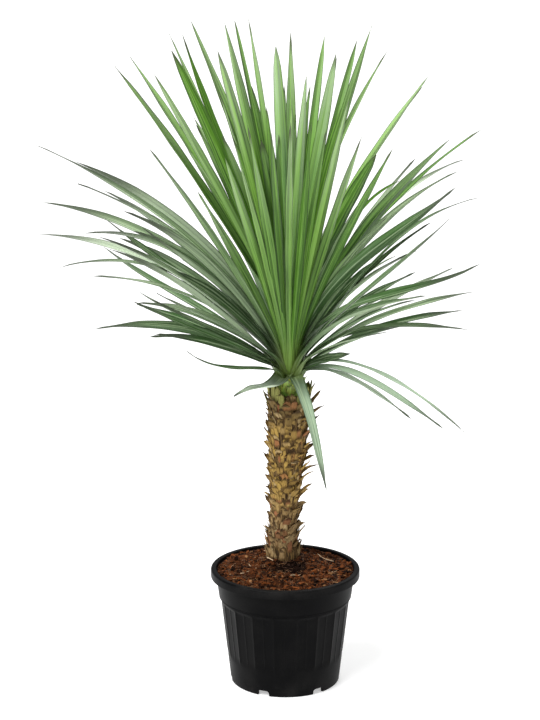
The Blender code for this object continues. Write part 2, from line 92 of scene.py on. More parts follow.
camera = in_scene("camera", bpy.data.cameras.new("camera"))
camera.data.sensor_fit = "VERTICAL"
camera.data.sensor_height = 36
camera.data.lens = FOCAL_PIXELS / IMAGE_HEIGHT * camera.data.sensor_height
camera.location = CAMERA_PLACE
camera.rotation_euler = (math.radians(90) - LOOK_DOWN, 0, LOOK_LEFT)
bpy.context.scene.camera = camera
print(f"lens {camera.data.lens:.1f} mm")

# %% [markdown]
# ## Light
#
# The plant stands on a white sweep in soft studio light. Its left side is the brighter one: the leaves
# there show a pale sheen, and the ribs on that side of the pot shine. A sun lamp with a wide disc is the
# key light, because it lights the whole sweep evenly, and its shadows are soft. A weaker lamp stands at the
# right, and one above and behind lifts the crown off the background.
#
# A white world would also be mirrored in the black pot and turn it grey. So the world is white only where
# the camera sees it, and gives much less light than that.

# %% Add the lamps and the floor
CROWN_MIDDLE = Vector((0, 0, 0.85))
WORLD_LIGHT = 0.38
FLOOR_REACH = 200
FLOOR_DROP = 0.0005
FLOOR_GLOW = 0.45


def add_lamp(kind, name, place, power, **settings):
    """Add a lamp that points at the middle of the crown."""
    lamp = bpy.data.lights.new(name, kind)
    lamp.energy = power
    for key, value in settings.items():
        setattr(lamp, key, value)
    item = in_scene(name, lamp)
    item.location = place
    item.rotation_euler = (CROWN_MIDDLE - Vector(place)).to_track_quat("-Z", "Y").to_euler()


def as_mesh(shape, name="template"):
    """Turn a finished bmesh into a mesh."""
    mesh = bpy.data.meshes.new(name)
    shape.to_mesh(mesh)
    shape.free()
    return mesh


add_lamp("SUN", "key lamp", (-2.2, -2.0, 4.2), 4.0, angle=math.radians(40))
add_lamp("AREA", "fill lamp", (2.6, -1.8, 1.4), 16, size=1.6)
add_lamp("AREA", "top lamp", (0.4, 1.7, 2.8), 45, size=1.2)

world = bpy.data.worlds.new("studio")
bpy.context.scene.world = world
world.use_nodes = True
nodes, links = world.node_tree.nodes, world.node_tree.links
seen = nodes.new("ShaderNodeLightPath")
strength = nodes.new("ShaderNodeMapRange")
strength.inputs["To Min"].default_value = WORLD_LIGHT
links.new(seen.outputs["Is Camera Ray"], strength.inputs["Value"])
links.new(strength.outputs[0], nodes["Background"].inputs["Strength"])
nodes["Background"].inputs["Color"].default_value = (1, 1, 1, 1)
bpy.context.scene.view_settings.view_transform = "Standard"

floor_shape = bmesh.new()
bmesh.ops.create_grid(floor_shape, x_segments=1, y_segments=1, size=FLOOR_REACH)
floor = in_scene("floor", as_mesh(floor_shape, "floor"))
floor.location.z = -FLOOR_DROP
print("lamps and floor are in place")

# %% [markdown]
# ## Writing a material as a sum
#
# A material that varies over its surface needs a few dozen small nodes. Wiring them one by one hides what
# they do, so two small classes let a pattern be written as it would be on paper. A Wire is the output of a
# node, and adding or multiplying it adds the Math node. A Finish is one material. Its node method makes any
# other node, and its paint method lays colours over each other as a painter would.
#
# The floor is the first to use them. It glows a little, which keeps it white and leaves only the faint
# shadow beside the pot that the photograph shows.

# %% Wire and Finish
class Wire:
    """An output of a node, on which sums can be written."""

    def __init__(self, finish, socket):
        self.finish, self.socket = finish, socket

    def __add__(self, other):
        return self.finish.maths("ADD", self, other)

    def __sub__(self, other):
        return self.finish.maths("SUBTRACT", self, other)

    def __rsub__(self, other):
        return self.finish.maths("SUBTRACT", other, self)

    def __mul__(self, other):
        return self.finish.maths("MULTIPLY", self, other)

    __radd__ = __add__
    __rmul__ = __mul__


class Finish:
    """A material that is built up from patterns."""

    def __init__(self, name):
        self.material = bpy.data.materials.new(name)
        self.material.use_nodes = True
        self.shader = self.material.node_tree.nodes["Principled BSDF"]

    def feed(self, socket, value):
        if isinstance(value, Wire):
            self.material.node_tree.links.new(value.socket, socket)
        elif isinstance(value, tuple) and len(value) == 3 and len(socket.default_value) == 4:
            socket.default_value = (*value, 1)
        else:
            socket.default_value = value

    def node(self, kind, settings, sockets, output=0):
        item = self.material.node_tree.nodes.new(kind)
        for key, value in settings.items():
            setattr(item, key, value)
        for key, value in sockets.items():
            self.feed(item.inputs[key], value)
        return Wire(self, item.outputs[output])

    def maths(self, operation, *values):
        return self.node("ShaderNodeMath", {"operation": operation}, dict(enumerate(values)))

    def attribute(self, name):
        return self.node("ShaderNodeAttribute", {"attribute_name": name}, {}, "Fac")

    def place(self):
        return self.node("ShaderNodeTexCoord", {}, {}, "Object")

    def vector(self, x, y, z):
        return self.node("ShaderNodeCombineXYZ", {}, {"X": x, "Y": y, "Z": z})

    def stretched(self, scale):
        return self.node("ShaderNodeMapping", {}, {"Vector": self.place(), "Scale": scale})

    def speckle(self, vector, scale, detail=2.0, roughness=0.5):
        sockets = {"Vector": vector, "Scale": scale, "Detail": detail, "Roughness": roughness}
        return self.node("ShaderNodeTexNoise", {}, sockets)

    def step(self, value, low, high):
        """0 below low and 1 above high, with a soft step between. With high below low it falls instead."""
        if high < low:
            return 1 - self.step(value, high, low)
        sockets = {"Value": value, "From Min": low, "From Max": high}
        return self.node("ShaderNodeMapRange", {"interpolation_type": "SMOOTHSTEP"}, sockets)

    def mix(self, share, first, second):
        sockets = {0: share, 6: first, 7: second}
        return self.node("ShaderNodeMix", {"data_type": "RGBA"}, sockets, 2)

    def paint(self, colour, *layers):
        """Lay colours over each other. Each layer is how much of it covers the ones below, and its colour."""
        for share, over in layers:
            colour = self.mix(share, colour, over)
        return colour

    def surface(self, **sockets):
        for name, value in sockets.items():
            self.feed(self.shader.inputs[name.replace("_", " ")], value)

    def coat(self, colour, roughness, gloss, height, strength, distance):
        """Set the surface's colour, roughness and gloss, and raise it by a height pattern."""
        sockets = {"Strength": strength, "Distance": distance, "Height": height}
        bump = self.node("ShaderNodeBump", {}, sockets)
        self.surface(Base_Color=colour, Roughness=roughness, Specular_IOR_Level=gloss, Normal=bump)


floor_finish = Finish("white sweep")
floor_finish.surface(Base_Color=(.70, .70, .70), Roughness=.8, Emission_Color=(1, 1, 1),
                     Emission_Strength=FLOOR_GLOW)
floor.data.materials.append(floor_finish.material)
print("materials can be written as sums")

# %% [markdown]
# ## Turning a shape into a piece
#
# Every piece ends in the same way: its bmesh becomes a mesh, gets its material and smooth shading, hangs on
# the root body, and hides the CAD node that it stands for. Small things that are repeated, such as leaves,
# stubs and bark chips, are added to one bmesh as copies of a template, because one mesh with many copies is
# much quicker than many objects. A copy carries its own numbers in vertex attributes, such as how far along
# a leaf a vertex is, and the material reads them.

# %% Helpers for pieces and copies
TRAITS = ("across", "along", "tone", "age", "dry")


def empty_shape():
    shape = bmesh.new()
    for name in TRAITS:
        shape.verts.layers.float.new(name)
    return shape


def add_copy(shape, template, bend, traits):
    """Add a template's vertices. bend places each one and gives its own traits, and traits are the copy's."""
    first = len(shape.verts)
    shape.from_mesh(template)
    shape.verts.ensure_lookup_table()
    layers = {name: shape.verts.layers.float[name] for name in TRAITS}
    for vertex in shape.verts[first:]:
        vertex.co, own = bend(vertex.co.copy())
        for name, value in {**traits, **own}.items():
            vertex[layers[name]] = value


def make_piece(name, shape, finish, node, sharp_angle=None):
    """Turn a shape into a piece that stands for a node. Edges past the angle, in degrees, stay sharp."""
    shape.normal_update()
    mesh = as_mesh(shape, name)
    mesh.materials.append(finish.material)
    mesh.shade_smooth()
    if sharp_angle is not None:
        mesh.set_sharp_from_angle(angle=math.radians(sharp_angle))
    piece = in_scene(name, mesh)
    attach(piece, "root")
    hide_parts(node)
    print(f"{name}: {sum(len(face.vertices) - 2 for face in mesh.polygons)} triangles")


UP = Vector((0, 0, 1))


def smooth_step(value):
    value = min(1, max(0, value))
    return value * value * (3 - 2 * value)


def between(stations, value):
    """Read a list of (place, size) stations at any place."""
    for (start, low), (end, high) in zip(stations, stations[1:]):
        if value <= end:
            return low + (high - low) * max(0, value - start) / (end - start)
    return stations[-1][1]


# %% [markdown]
# ## The nursery pot
#
# The real pot is blown or pressed from black recycled plastic about 2.5 mm thick. It is round, so it is
# drawn as half a section and turned with spin, which is how a mould for it would be turned. The section
# goes from the middle of the floor up the inside, over the rim, and down the outside to the foot.
#
# The flutes need vertices to move, so the outside of the section gets many heights, and the number of steps
# is a multiple of the number of flutes, which puts a row of vertices on each rib.

# %% Draw the pot's section
GAP = 0.0003
POT_HEIGHT = 0.235
RIM_RADIUS = 0.150
RIM_DEPTH = 0.017
POT_WALL = 0.0025
COLLAR_RADII = (0.1335, 0.1415)
COLLAR_FOOT = 0.176
COLLAR_STEP = 0.002
WALL_RADII = (0.110, 0.130)
FLOOR_HEIGHT = 0.012
PAD_RADIUS = 0.040
FLUTES = 18
STEPS_PER_FLUTE = 24
FLUTE_DEPTH = 0.0022
RIB_BEAD = 0.0006
FLUTE_TOP = 0.172
FLUTE_BOTTOM = 0.060
CORNER = 0.004


def pot_outer_radius(height):
    if height >= COLLAR_FOOT:
        share = (height - COLLAR_FOOT) / (POT_HEIGHT - COLLAR_FOOT)
        return COLLAR_RADII[0] + (COLLAR_RADII[1] - COLLAR_RADII[0]) * share
    return WALL_RADII[0] + (WALL_RADII[1] - WALL_RADII[0]) * height / COLLAR_FOOT


def pot_inner_radius(height):
    flute = 0 if height >= COLLAR_FOOT else FLUTE_DEPTH
    return pot_outer_radius(height) - POT_WALL - flute


def round_corner(x, y, before, after, segments=4):
    """Points on a soft corner at x, y. before and after are steps from it to the curve's two ends."""
    corner = Vector((x, y))
    start = Vector((x + before[0], y + before[1]))
    end = Vector((x + after[0], y + after[1]))
    shares = [i / segments for i in range(segments + 1)]
    return [tuple((1 - t) ** 2 * start + 2 * t * (1 - t) * corner + t ** 2 * end) for t in shares]


def down_from(start, step, count):
    return [start - step * i for i in range(count)]


def pot_section():
    """Points of (radius, height) from the middle of the floor, over the rim and back under the foot."""
    floor_top = FLOOR_HEIGHT + POT_WALL
    skirt = POT_HEIGHT - RIM_DEPTH
    collar_top = POT_HEIGHT - POT_WALL
    step_foot = COLLAR_FOOT - COLLAR_STEP
    collar_lean = pot_outer_radius(COLLAR_FOOT + 0.001) - pot_outer_radius(COLLAR_FOOT)
    foot_inner = WALL_RADII[0] - 2.5 * POT_WALL
    collar = (collar_top, 0.215, 0.196, COLLAR_FOOT + 0.002)
    wall = [*down_from(FLUTE_TOP + 0.002, 0.001, 11), *down_from(0.158, 0.008, 12),
            *down_from(FLUTE_BOTTOM + 0.008, 0.002, 10), 0.040, 0.026, 0.013, 0.004]
    return [
        (0, floor_top), (PAD_RADIUS, floor_top),
        *round_corner(pot_inner_radius(floor_top), floor_top, (-CORNER, 0), (0, CORNER)),
        (pot_inner_radius(step_foot), step_foot), (pot_inner_radius(COLLAR_FOOT), COLLAR_FOOT),
        *round_corner(pot_inner_radius(POT_HEIGHT), POT_HEIGHT, (0, -0.002), (0.002, 0)),
        *round_corner(RIM_RADIUS, POT_HEIGHT, (-CORNER, 0), (0, -CORNER), 6),
        *round_corner(RIM_RADIUS, skirt, (0, 0.0012), (-0.0012, 0), 2),
        (RIM_RADIUS - POT_WALL, skirt), (RIM_RADIUS - POT_WALL, collar_top - 0.001),
        *((pot_outer_radius(height), height) for height in collar),
        *round_corner(pot_outer_radius(COLLAR_FOOT), COLLAR_FOOT, (collar_lean, 0.001), (-0.0015, -0.0005), 2),
        (pot_outer_radius(step_foot), step_foot),
        *((pot_outer_radius(height), height) for height in wall),
        *round_corner(WALL_RADII[0], 0, (0, 0.0015), (-0.0015, 0), 3),
        (foot_inner, 0), (foot_inner, FLOOR_HEIGHT), (PAD_RADIUS + FLOOR_HEIGHT / 2, FLOOR_HEIGHT),
        (PAD_RADIUS, 0), (0, 0)]


def spun(section, steps):
    """Turn a section of (radius, height) points round the upright axis into a closed shape."""
    shape = bmesh.new()
    corners = [shape.verts.new((radius, 0, height)) for radius, height in section]
    edges = [shape.edges.new(pair) for pair in zip(corners, corners[1:])]
    bmesh.ops.spin(shape, geom=corners + edges, cent=(0, 0, 0), axis=(0, 0, 1), angle=math.tau, steps=steps,
                   use_merge=True)
    bmesh.ops.remove_doubles(shape, verts=shape.verts[:], dist=0.00001)
    bmesh.ops.recalc_face_normals(shape, faces=shape.faces[:])
    return shape


pot_shape = spun(pot_section(), FLUTES * STEPS_PER_FLUTE)
print(f"pot section turned into {len(pot_shape.faces)} faces")

# %% [markdown]
# The ribs are sharp and the wall between two of them is a shallow hollow, deepest half way. A parabola does
# that, and it meets its neighbour in a crease on the rib. A fine bead on each rib, and one in the middle of
# each hollow, catches the light as a thin upright line. The hollow dies away in a few millimetres at its
# top and more slowly at its bottom.
#
# The notches in the foot let water out when the pot stands on a flat floor. They are cut with a Boolean, as
# on the CAD pot, because a cut through a turned wall has no simple form in the section.

# %% Press the flutes and cut the foot
NEAR_WALL = 0.0005
TOP_FADE = 0.007
BOTTOM_FADE = 0.016
NOTCHES = 6
NOTCH_WIDTH = 0.024
NOTCH_HEIGHT = 0.011
FIRST_NOTCH = math.radians(-113)
DRAIN_HOLES = 6
DRAIN_RADIUS = 0.005
DRAIN_RING = 0.074

for vertex in pot_shape.verts:
    radius = math.hypot(vertex.co.x, vertex.co.y)
    height = vertex.co.z
    on_wall = abs(radius - pot_outer_radius(height)) < NEAR_WALL
    if on_wall and FLUTE_BOTTOM - 0.012 < height < FLUTE_TOP + 0.003:
        turn = math.atan2(vertex.co.y, vertex.co.x) * FLUTES / math.tau
        from_middle = 2 * abs((turn - math.floor(turn)) - 0.5)
        ends = smooth_step((FLUTE_TOP - height) / TOP_FADE)
        ends *= smooth_step((height - FLUTE_BOTTOM + 0.010) / BOTTOM_FADE)
        on_line = smooth_step((from_middle - 0.80) / 0.20) + smooth_step((0.12 - from_middle) / 0.12)
        pressed = radius + (RIB_BEAD * on_line - FLUTE_DEPTH * (1 - from_middle ** 2)) * ends
        vertex.co.x *= pressed / radius
        vertex.co.y *= pressed / radius


def add_cutter(cutters, shape, turn, radius, height):
    """Bring a cutter to its place round the pot."""
    place = Matrix.Rotation(turn, 4, "Z") @ Matrix.Translation((radius, 0, height))
    bmesh.ops.transform(shape, matrix=place, verts=shape.verts)
    cutters.objects.link(bpy.data.objects.new("cutter", as_mesh(shape)))


def foot_cutters():
    cutters = bpy.data.collections.new("foot cutters")
    for i in range(NOTCHES):
        notch = bmesh.new()
        bmesh.ops.create_cube(notch, size=1)
        bmesh.ops.scale(notch, vec=(0.030, NOTCH_WIDTH, 2 * NOTCH_HEIGHT), verts=notch.verts)
        top_edges = [edge for edge in notch.edges
                     if all(v.co.z > 0 for v in edge.verts) and edge.verts[0].co.x * edge.verts[1].co.x < 0]
        bmesh.ops.bevel(notch, geom=top_edges, offset=NOTCH_HEIGHT / 2, segments=5, affect="EDGES",
                        profile=0.5, material=-1)
        add_cutter(cutters, notch, FIRST_NOTCH + i * math.tau / NOTCHES, WALL_RADII[0], 0)
    for i in range(DRAIN_HOLES):
        hole = bmesh.new()
        bmesh.ops.create_cone(hole, cap_ends=True, segments=24, radius1=DRAIN_RADIUS, radius2=DRAIN_RADIUS,
                              depth=4 * POT_WALL)
        add_cutter(cutters, hole, (i + 0.5) * math.tau / DRAIN_HOLES, DRAIN_RING, FLOOR_HEIGHT)
    return cutters


def cut_away(shape, cutters):
    """Cut every object of a collection out of a shape with one Boolean, and remove the cutters."""
    item = in_scene("uncut", as_mesh(shape))
    bpy.context.scene.collection.children.link(cutters)
    cut = item.modifiers.new("Cut", "BOOLEAN")
    cut.operand_type = "COLLECTION"
    cut.collection = cutters
    cut.solver = "EXACT"
    result = bmesh.new()
    result.from_mesh(item.evaluated_get(bpy.context.evaluated_depsgraph_get()).to_mesh())
    for other in [*cutters.objects, item]:
        bpy.data.objects.remove(other)
    bpy.data.collections.remove(cutters)
    return result


pot_shape = cut_away(pot_shape, foot_cutters())
print(f"pot after cutting: {len(pot_shape.faces)} faces")

# %% [markdown]
# Black nursery plastic is never one flat black. It has a soft satin gloss that wanders, fine upright scuffs
# where pots have been pushed into each other, and a little pale dust and dried water, most of it on the rim
# and low on the wall. The step under the collar is rougher, so that it does not shine. All of it is weak:
# the pot must still read as black.

# %% Finish the pot
pot_finish = Finish("black nursery plastic")
step, speckle = pot_finish.step, pot_finish.speckle
pot_place = pot_finish.place()
height_up = pot_finish.node("ShaderNodeSeparateXYZ", {}, {"Vector": pot_place}, "Z")
cloud = speckle(pot_place, 18, 3)
scuff = speckle(pot_finish.stretched((260, 260, 16)), 1, 3, .65)
grit = speckle(pot_place, 420, 2)
low_dust = step(height_up, .055, 0)
rim_dust = step(height_up, .214, .236)
dust = step(cloud + .35 * grit, .55, .95) * (.10 + .28 * low_dust + .30 * rim_dust)
step_edge = step(pot_finish.maths("ABSOLUTE", height_up - COLLAR_FOOT), .004, .002)
pot_colour = pot_finish.paint(
    (.0016, .0016, .0018),
    (step(scuff, .60, .78) * .35, (.006, .0063, .0068)),
    (dust * .6, (.040, .038, .036)))
roughness = .36 + .16 * cloud + .2 * dust + .3 * step_edge
pot_finish.coat(pot_colour, roughness, .05, .6 * grit + .4 * scuff, .12, .0004)
make_piece("nursery_pot_piece", pot_shape, pot_finish, "nursery_pot", 18)

# %% [markdown]
# ## The potting mix
#
# The pot is filled with bark and coir almost to its rim, a little higher round the trunk. A smooth mound
# with a picture of bark on it would look painted, so the mix is built from what it is: a rough mound, a few
# thousand bark chips that lie on it at random, and fine fibres and a few pale straws over them.
#
# The mound is spun too, and every vertex of its top is moved by two sizes of noise.

# %% Heap up the mound
MIX_EDGE = 0.230
MIX_MIDDLE = 0.248
MIX_RADIUS = pot_inner_radius(MIX_EDGE) - GAP
MIX_RINGS = 44
LUMPS = ((0.0032, 45), (0.0016, 130))
EDGE_WIDTH = 0.012
EDGE_DIP = 0.002
STEM_BACK = 0.045
TRUNK_HOLE = 0.0343
STEM_FOOT = Vector((-0.005, STEM_BACK))
HOLLOW = Vector((0.010, -0.018))
HOLLOW_RADIUS = 0.052
HOLLOW_CORE = 0.020
HOLLOW_DEPTH = 0.009


def in_shaded_hollow(x, y):
    """1 in the middle of the hollow before the trunk, whose chips get painted shade, and 0 outside it."""
    from_middle = math.hypot(x - HOLLOW.x, y - HOLLOW.y)
    return 1 - smooth_step((from_middle - HOLLOW_CORE) / (HOLLOW_RADIUS - HOLLOW_CORE))


def mix_height(x, y):
    """The mound: a smooth rise to the middle, lumps, and a small hollow in front of the trunk."""
    out = math.hypot(x, y)
    rise = MIX_EDGE + (MIX_MIDDLE - MIX_EDGE) * (1 - smooth_step(out / MIX_RADIUS))
    lumps = sum(height * noise.noise(Vector((x, y, 0)) * scale) for height, scale in LUMPS)
    inner = smooth_step((MIX_RADIUS - out) / EDGE_WIDTH)
    return rise + (lumps - HOLLOW_DEPTH * in_shaded_hollow(x, y)) * inner - EDGE_DIP * (1 - inner)


mix_floor = FLOOR_HEIGHT + POT_WALL + GAP
section = [(MIX_RADIUS * i / MIX_RINGS, MIX_EDGE) for i in range(MIX_RINGS + 1)]
side = (0.200, COLLAR_FOOT, COLLAR_FOOT - COLLAR_STEP, mix_floor)
section += [(pot_inner_radius(height) - GAP, height) for height in side]
mound = spun(section + [(0, mix_floor)], 96)
for vertex in mound.verts:
    if abs(vertex.co.z - MIX_EDGE) < 0.0001:
        vertex.co.z = mix_height(vertex.co.x, vertex.co.y)
print(f"mound: {len(mound.faces)} faces")

# %% [markdown]
# A bark chip is a flat, angular splinter. A cube whose eight corners are pushed about looks like one at
# this size, and it has only twelve triangles. Each chip has its own size, turn and tilt, and its own tone,
# from nearly black through red-brown to a few fresh orange ones. The fibres of coir are thin three-sided
# rods in a piece of their own. They bend and follow the mound. The few straws that show one by one are
# thicker and straighter.

# %% Scatter chips and fibres
CHIPS = 2600
SHORTEST_CHIP = 0.003
CHIP_SPREAD = 0.014
CHIP_THICKNESS = (0.0012, 0.0032)
CHIP_TILT = 0.28
MIX_REACH = MIX_RADIUS - 0.004
FIBRES = 500
FIBRE_LENGTHS = (0.010, 0.036)
FIBRE_RADII = (0.00025, 0.0006)
FIBRE_TONES = (0.2, 0.9)
mix_draw = random.Random(21)


def spot_on_mix():
    """A random place on the mix that is clear of the trunk."""
    while True:
        radius = MIX_REACH * math.sqrt(mix_draw.uniform(0, 1))
        turn = mix_draw.uniform(0, math.tau)
        x, y = radius * math.cos(turn), radius * math.sin(turn)
        if math.hypot(x - STEM_FOOT.x, y - STEM_FOOT.y) > TRUNK_HOLE:
            return x, y


def kept_inside(spot, limit):
    """Bring a place that is too far out back to the limit."""
    reach = math.hypot(spot.x, spot.y)
    if reach > limit:
        spot.x *= limit / reach
        spot.y *= limit / reach
    return spot


def add_chip(shape, template, x, y, length, tone):
    width = length * mix_draw.uniform(0.30, 0.65)
    thickness = mix_draw.uniform(*CHIP_THICKNESS)
    tilt = Matrix.Rotation(mix_draw.gauss(0, CHIP_TILT), 4, "X")
    tilt = tilt @ Matrix.Rotation(mix_draw.gauss(0, CHIP_TILT), 4, "Y")
    turn = Matrix.Rotation(mix_draw.uniform(0, math.tau), 4, "Z") @ tilt
    place = Matrix.Translation((x, y, mix_height(x, y) + thickness * mix_draw.uniform(0.0, 0.8))) @ turn
    push = [Vector([mix_draw.uniform(-0.24, 0.24) for _ in range(3)]) for _ in range(8)]

    def bend(corner):
        moved = corner + push[int(corner.x > 0) + 2 * int(corner.y > 0) + 4 * int(corner.z > 0)]
        spot = place @ Vector((moved.x * length, moved.y * width, moved.z * thickness))
        return kept_inside(spot, MIX_RADIUS - 0.001), {}

    add_copy(shape, template, bend, {"tone": tone, "dry": mix_draw.random()})


chips = empty_shape()
chip = empty_shape()
bmesh.ops.create_cube(chip, size=1)
chip = as_mesh(chip)
for i in range(CHIPS):
    x, y = spot_on_mix()
    length = SHORTEST_CHIP + CHIP_SPREAD * mix_draw.random() ** 3
    # In the hollow in front of the trunk a chip's tone is lowered: painted shade of the trunk.
    add_chip(chips, chip, x, y, length, mix_draw.random() * (1 - in_shaded_hollow(x, y)))
print(f"chips: {len(chips.faces)} faces")


def lengthwise_cuts(shape, length, cuts):
    """Cut a cone or cylinder of this length across, so that it can be bent."""
    upright = [edge for edge in shape.edges if abs(edge.verts[0].co.z - edge.verts[1].co.z) > 0.5 * length]
    bmesh.ops.subdivide_edges(shape, edges=upright, cuts=cuts)


def fibre_template(segments):
    """A thin three-sided rod of unit length along X, in a few segments."""
    shape = empty_shape()
    bmesh.ops.create_cone(shape, cap_ends=True, segments=3, radius1=1, radius2=0.7, depth=1)
    lengthwise_cuts(shape, 1, segments - 1)
    lying = Matrix.Rotation(math.radians(90), 3, "Y")
    bmesh.ops.rotate(shape, cent=(0, 0, 0), matrix=lying, verts=shape.verts)
    return as_mesh(shape)


def add_fibre(x, y, turn, length, thickness, tone, lift=0.0012, most_curl=1.2):
    """Lay a fibre on the mix: it bends to one side and follows the mound, a little above it."""
    curl = mix_draw.uniform(-most_curl, most_curl)
    ends_up = mix_draw.uniform(0, 0.10) * length

    def bend(spot):
        heading = turn + curl * spot.x
        ahead = Vector((math.cos(heading), math.sin(heading)))
        middle = Vector((x + ahead.x * spot.x * length, y + ahead.y * spot.x * length))
        middle = kept_inside(middle, MIX_REACH)
        ground = mix_height(middle.x, middle.y) + lift + ends_up * (2 * spot.x) ** 2
        return Vector((middle.x - ahead.y * spot.y * thickness, middle.y + ahead.x * spot.y * thickness,
                       ground + spot.z * thickness)), {"along": spot.x + 0.5}

    add_copy(fibres, fibre, bend, {"tone": tone, "dry": mix_draw.random()})


fibres = empty_shape()
fibre = fibre_template(7)
for i in range(FIBRES):
    add_fibre(*spot_on_mix(), mix_draw.uniform(0, math.tau), mix_draw.uniform(*FIBRE_LENGTHS),
              mix_draw.uniform(*FIBRE_RADII), mix_draw.uniform(*FIBRE_TONES))

# Straws that show one by one: (x, y, turn in degrees, length, thickness).
STRAWS = (
    (0.081, 0.042, -48, 0.048, 0.0010),
    (-0.031, 0.008, -56, 0.022, 0.0018),
    (-0.066, -0.024, -55, 0.026, 0.0009),
    (-0.080, -0.045, 20, 0.020, 0.0009),
    (0.020, -0.070, 10, 0.022, 0.0008),
    (-0.104, 0.010, 70, 0.024, 0.0008),
    (0.098, -0.030, 60, 0.020, 0.0008),
    (-0.030, 0.100, 25, 0.030, 0.0009),
)
for x, y, turn, length, thickness in STRAWS:
    add_fibre(x, y, math.radians(turn), length, thickness, 1.0, 0.003, 0.2)
print(f"fibres: {len(fibres.faces)} faces")

# %% [markdown]
# The tone of a chip runs through four colours. A fine speckle darkens parts of each chip, as its rough
# grain does, and the mound under the chips stays dark and damp, as the gaps between real chips do.

# %% Finish the mix
bark_finish = Finish("bark chips")
step = bark_finish.step
bark_tone = bark_finish.attribute("tone")
bark_grain = bark_finish.speckle(bark_finish.place(), 340, 3)
bark_patch = bark_finish.speckle(bark_finish.place(), 26, 2)
bark_colour = bark_finish.paint(
    (.008, .003, .0015),
    (step(bark_tone, .10, .50), (.070, .022, .007)),
    (step(bark_tone, .62, .95), (.175, .052, .014)),
    (step(bark_tone, .965, .975), (.28, .14, .06)),
    (step(bark_grain + .5 * bark_patch, .80, .50), (.008, .003, .002)))
bark_finish.coat(bark_colour, .70 + .25 * bark_grain, .05, bark_grain, .5, .0006)

soil_finish = Finish("damp coir")
soil_grain = soil_finish.speckle(soil_finish.place(), 260, 5, .7)
soil_colour = soil_finish.mix(soil_finish.step(soil_grain, .40, .65), (.006, .003, .002), (.055, .018, .007))
soil_finish.coat(soil_colour, .85, .1, soil_grain, .9, .002)

straw_finish = Finish("straw and coir fibre")
straw_tone = straw_finish.attribute("tone")
straw_colour = straw_finish.paint(
    (.075, .030, .014),
    (straw_finish.step(straw_tone, .25, .75), (.26, .13, .055)),
    (straw_finish.step(straw_tone, .92, .98), (.62, .45, .28)))
straw_finish.surface(Base_Color=straw_colour, Roughness=.6)

make_piece("mound_of_coir", mound, soil_finish, "potting_mix")
make_piece("bark_chips", chips, bark_finish, "potting_mix", 20)
make_piece("straws_and_fibres", fibres, straw_finish, "potting_mix")

# %% [markdown]
# ## The trunk
#
# The trunk is a fibrous stem under overlapping stubs. Each stub is what stays when a dead leaf is torn off:
# a broad, flat, fibrous scale that points up, dark and ragged at its end. On the right side of this plant
# the stubs stand out further than on the left.
#
# The stem is a cone cut into rings and fitted to a list of radii. It also leans a centimetre to the right
# on its way up, which one function tells to everything that grows on it.

# %% Build the stem under the stubs
TRUNK_FOOT = 0.175
TRUNK_TOP = 0.583
NECK_TOP = 0.610
TRUNK_SHAPE = ((TRUNK_FOOT, 0.034), (0.250, 0.034), (0.272, 0.030), (0.298, 0.026), (0.340, 0.0265),
               (0.370, 0.029), (0.405, 0.031), (0.440, 0.034), (0.475, 0.037), (0.505, 0.039),
               (0.550, 0.041), (TRUNK_TOP, 0.035))


def stem_axis(height):
    ease = smooth_step((height - MIX_MIDDLE) / (NECK_TOP - MIX_MIDDLE))
    return Vector((-0.005 + 0.013 * ease, STEM_BACK, height))


def ringed_stem(stations, sides, rings, roughness):
    """A closed length of stem through stations of (height, radius), with its surface roughened by noise."""
    bottom, top = stations[0][0], stations[-1][0]
    shape = empty_shape()
    bmesh.ops.create_cone(shape, cap_ends=True, segments=sides, radius1=1, radius2=1, depth=top - bottom)
    bmesh.ops.translate(shape, vec=(0, 0, (bottom + top) / 2), verts=shape.verts)
    lengthwise_cuts(shape, top - bottom, rings)
    for vertex in shape.verts:
        x, y, height = vertex.co
        radius = between(stations, height) + roughness * noise.noise(Vector((x * 9, y * 9, height * 60)))
        vertex.co = stem_axis(height) + Vector((x * radius, y * radius, 0))
    return shape


stem = ringed_stem(TRUNK_SHAPE, 64, 70, 0.0015)
print(f"stem: {len(stem.faces)} faces")

# %% [markdown]
# A stub, a leaf base and a leaf are all flat strips, so one template serves them all: a grid that solidify
# has made one unit thick. Its X runs across the strip, its Y along it and its Z through it, and a bend
# function puts each vertex where the real thing has it.
#
# A stub wraps partly round the stem, leans out more towards its end, and is torn off along a ragged line.
# The places, sizes and leans are the same draws that the CAD stubs use. The photograph adds a habit: at the
# right the stubs are longer and stand out, at the left they are short, and in front they lie close to the
# stem.

# %% Cover the stem with stubs
GOLDEN_ANGLE = math.radians(137.5)
STUBS = 154
STUB_LOWEST = MIX_MIDDLE + 0.005
STUB_HIGHEST = TRUNK_TOP - 0.010
STUB_JITTER = 0.12
STUB_LENGTHS = (0.024, 0.044)
STUB_WIDTHS = (0.017, 0.025)
STUB_LEANS = (math.radians(18), math.radians(44))
STUB_ENDS = (0.12, 0.55)
STUB_SINK = 0.006
STUB_THICKNESS = 0.0036
RIGHT_LONGER = 0.16
RIGHT_LEAN = math.radians(9)
FRONT_LEAN = 0.5


def strip_template(columns, rows):
    """A flat strip: x is -1 to 1 across it, y is 0 to 1 along it, z is 0 on its face and -1 on its back."""
    shape = empty_shape()
    bmesh.ops.create_grid(shape, x_segments=columns, y_segments=rows, size=1)
    bmesh.ops.scale(shape, vec=(1, 0.5, 1), verts=shape.verts)
    bmesh.ops.translate(shape, vec=(0, 0.5, 0), verts=shape.verts)
    bmesh.ops.solidify(shape, geom=shape.faces[:], thickness=1)
    highest = max(vertex.co.z for vertex in shape.verts)
    bmesh.ops.translate(shape, vec=(0, 0, -highest), verts=shape.verts)
    bmesh.ops.recalc_face_normals(shape, faces=shape.faces[:])
    print(f"strip of {columns} by {rows}: {len(shape.faces)} faces")
    return as_mesh(shape)


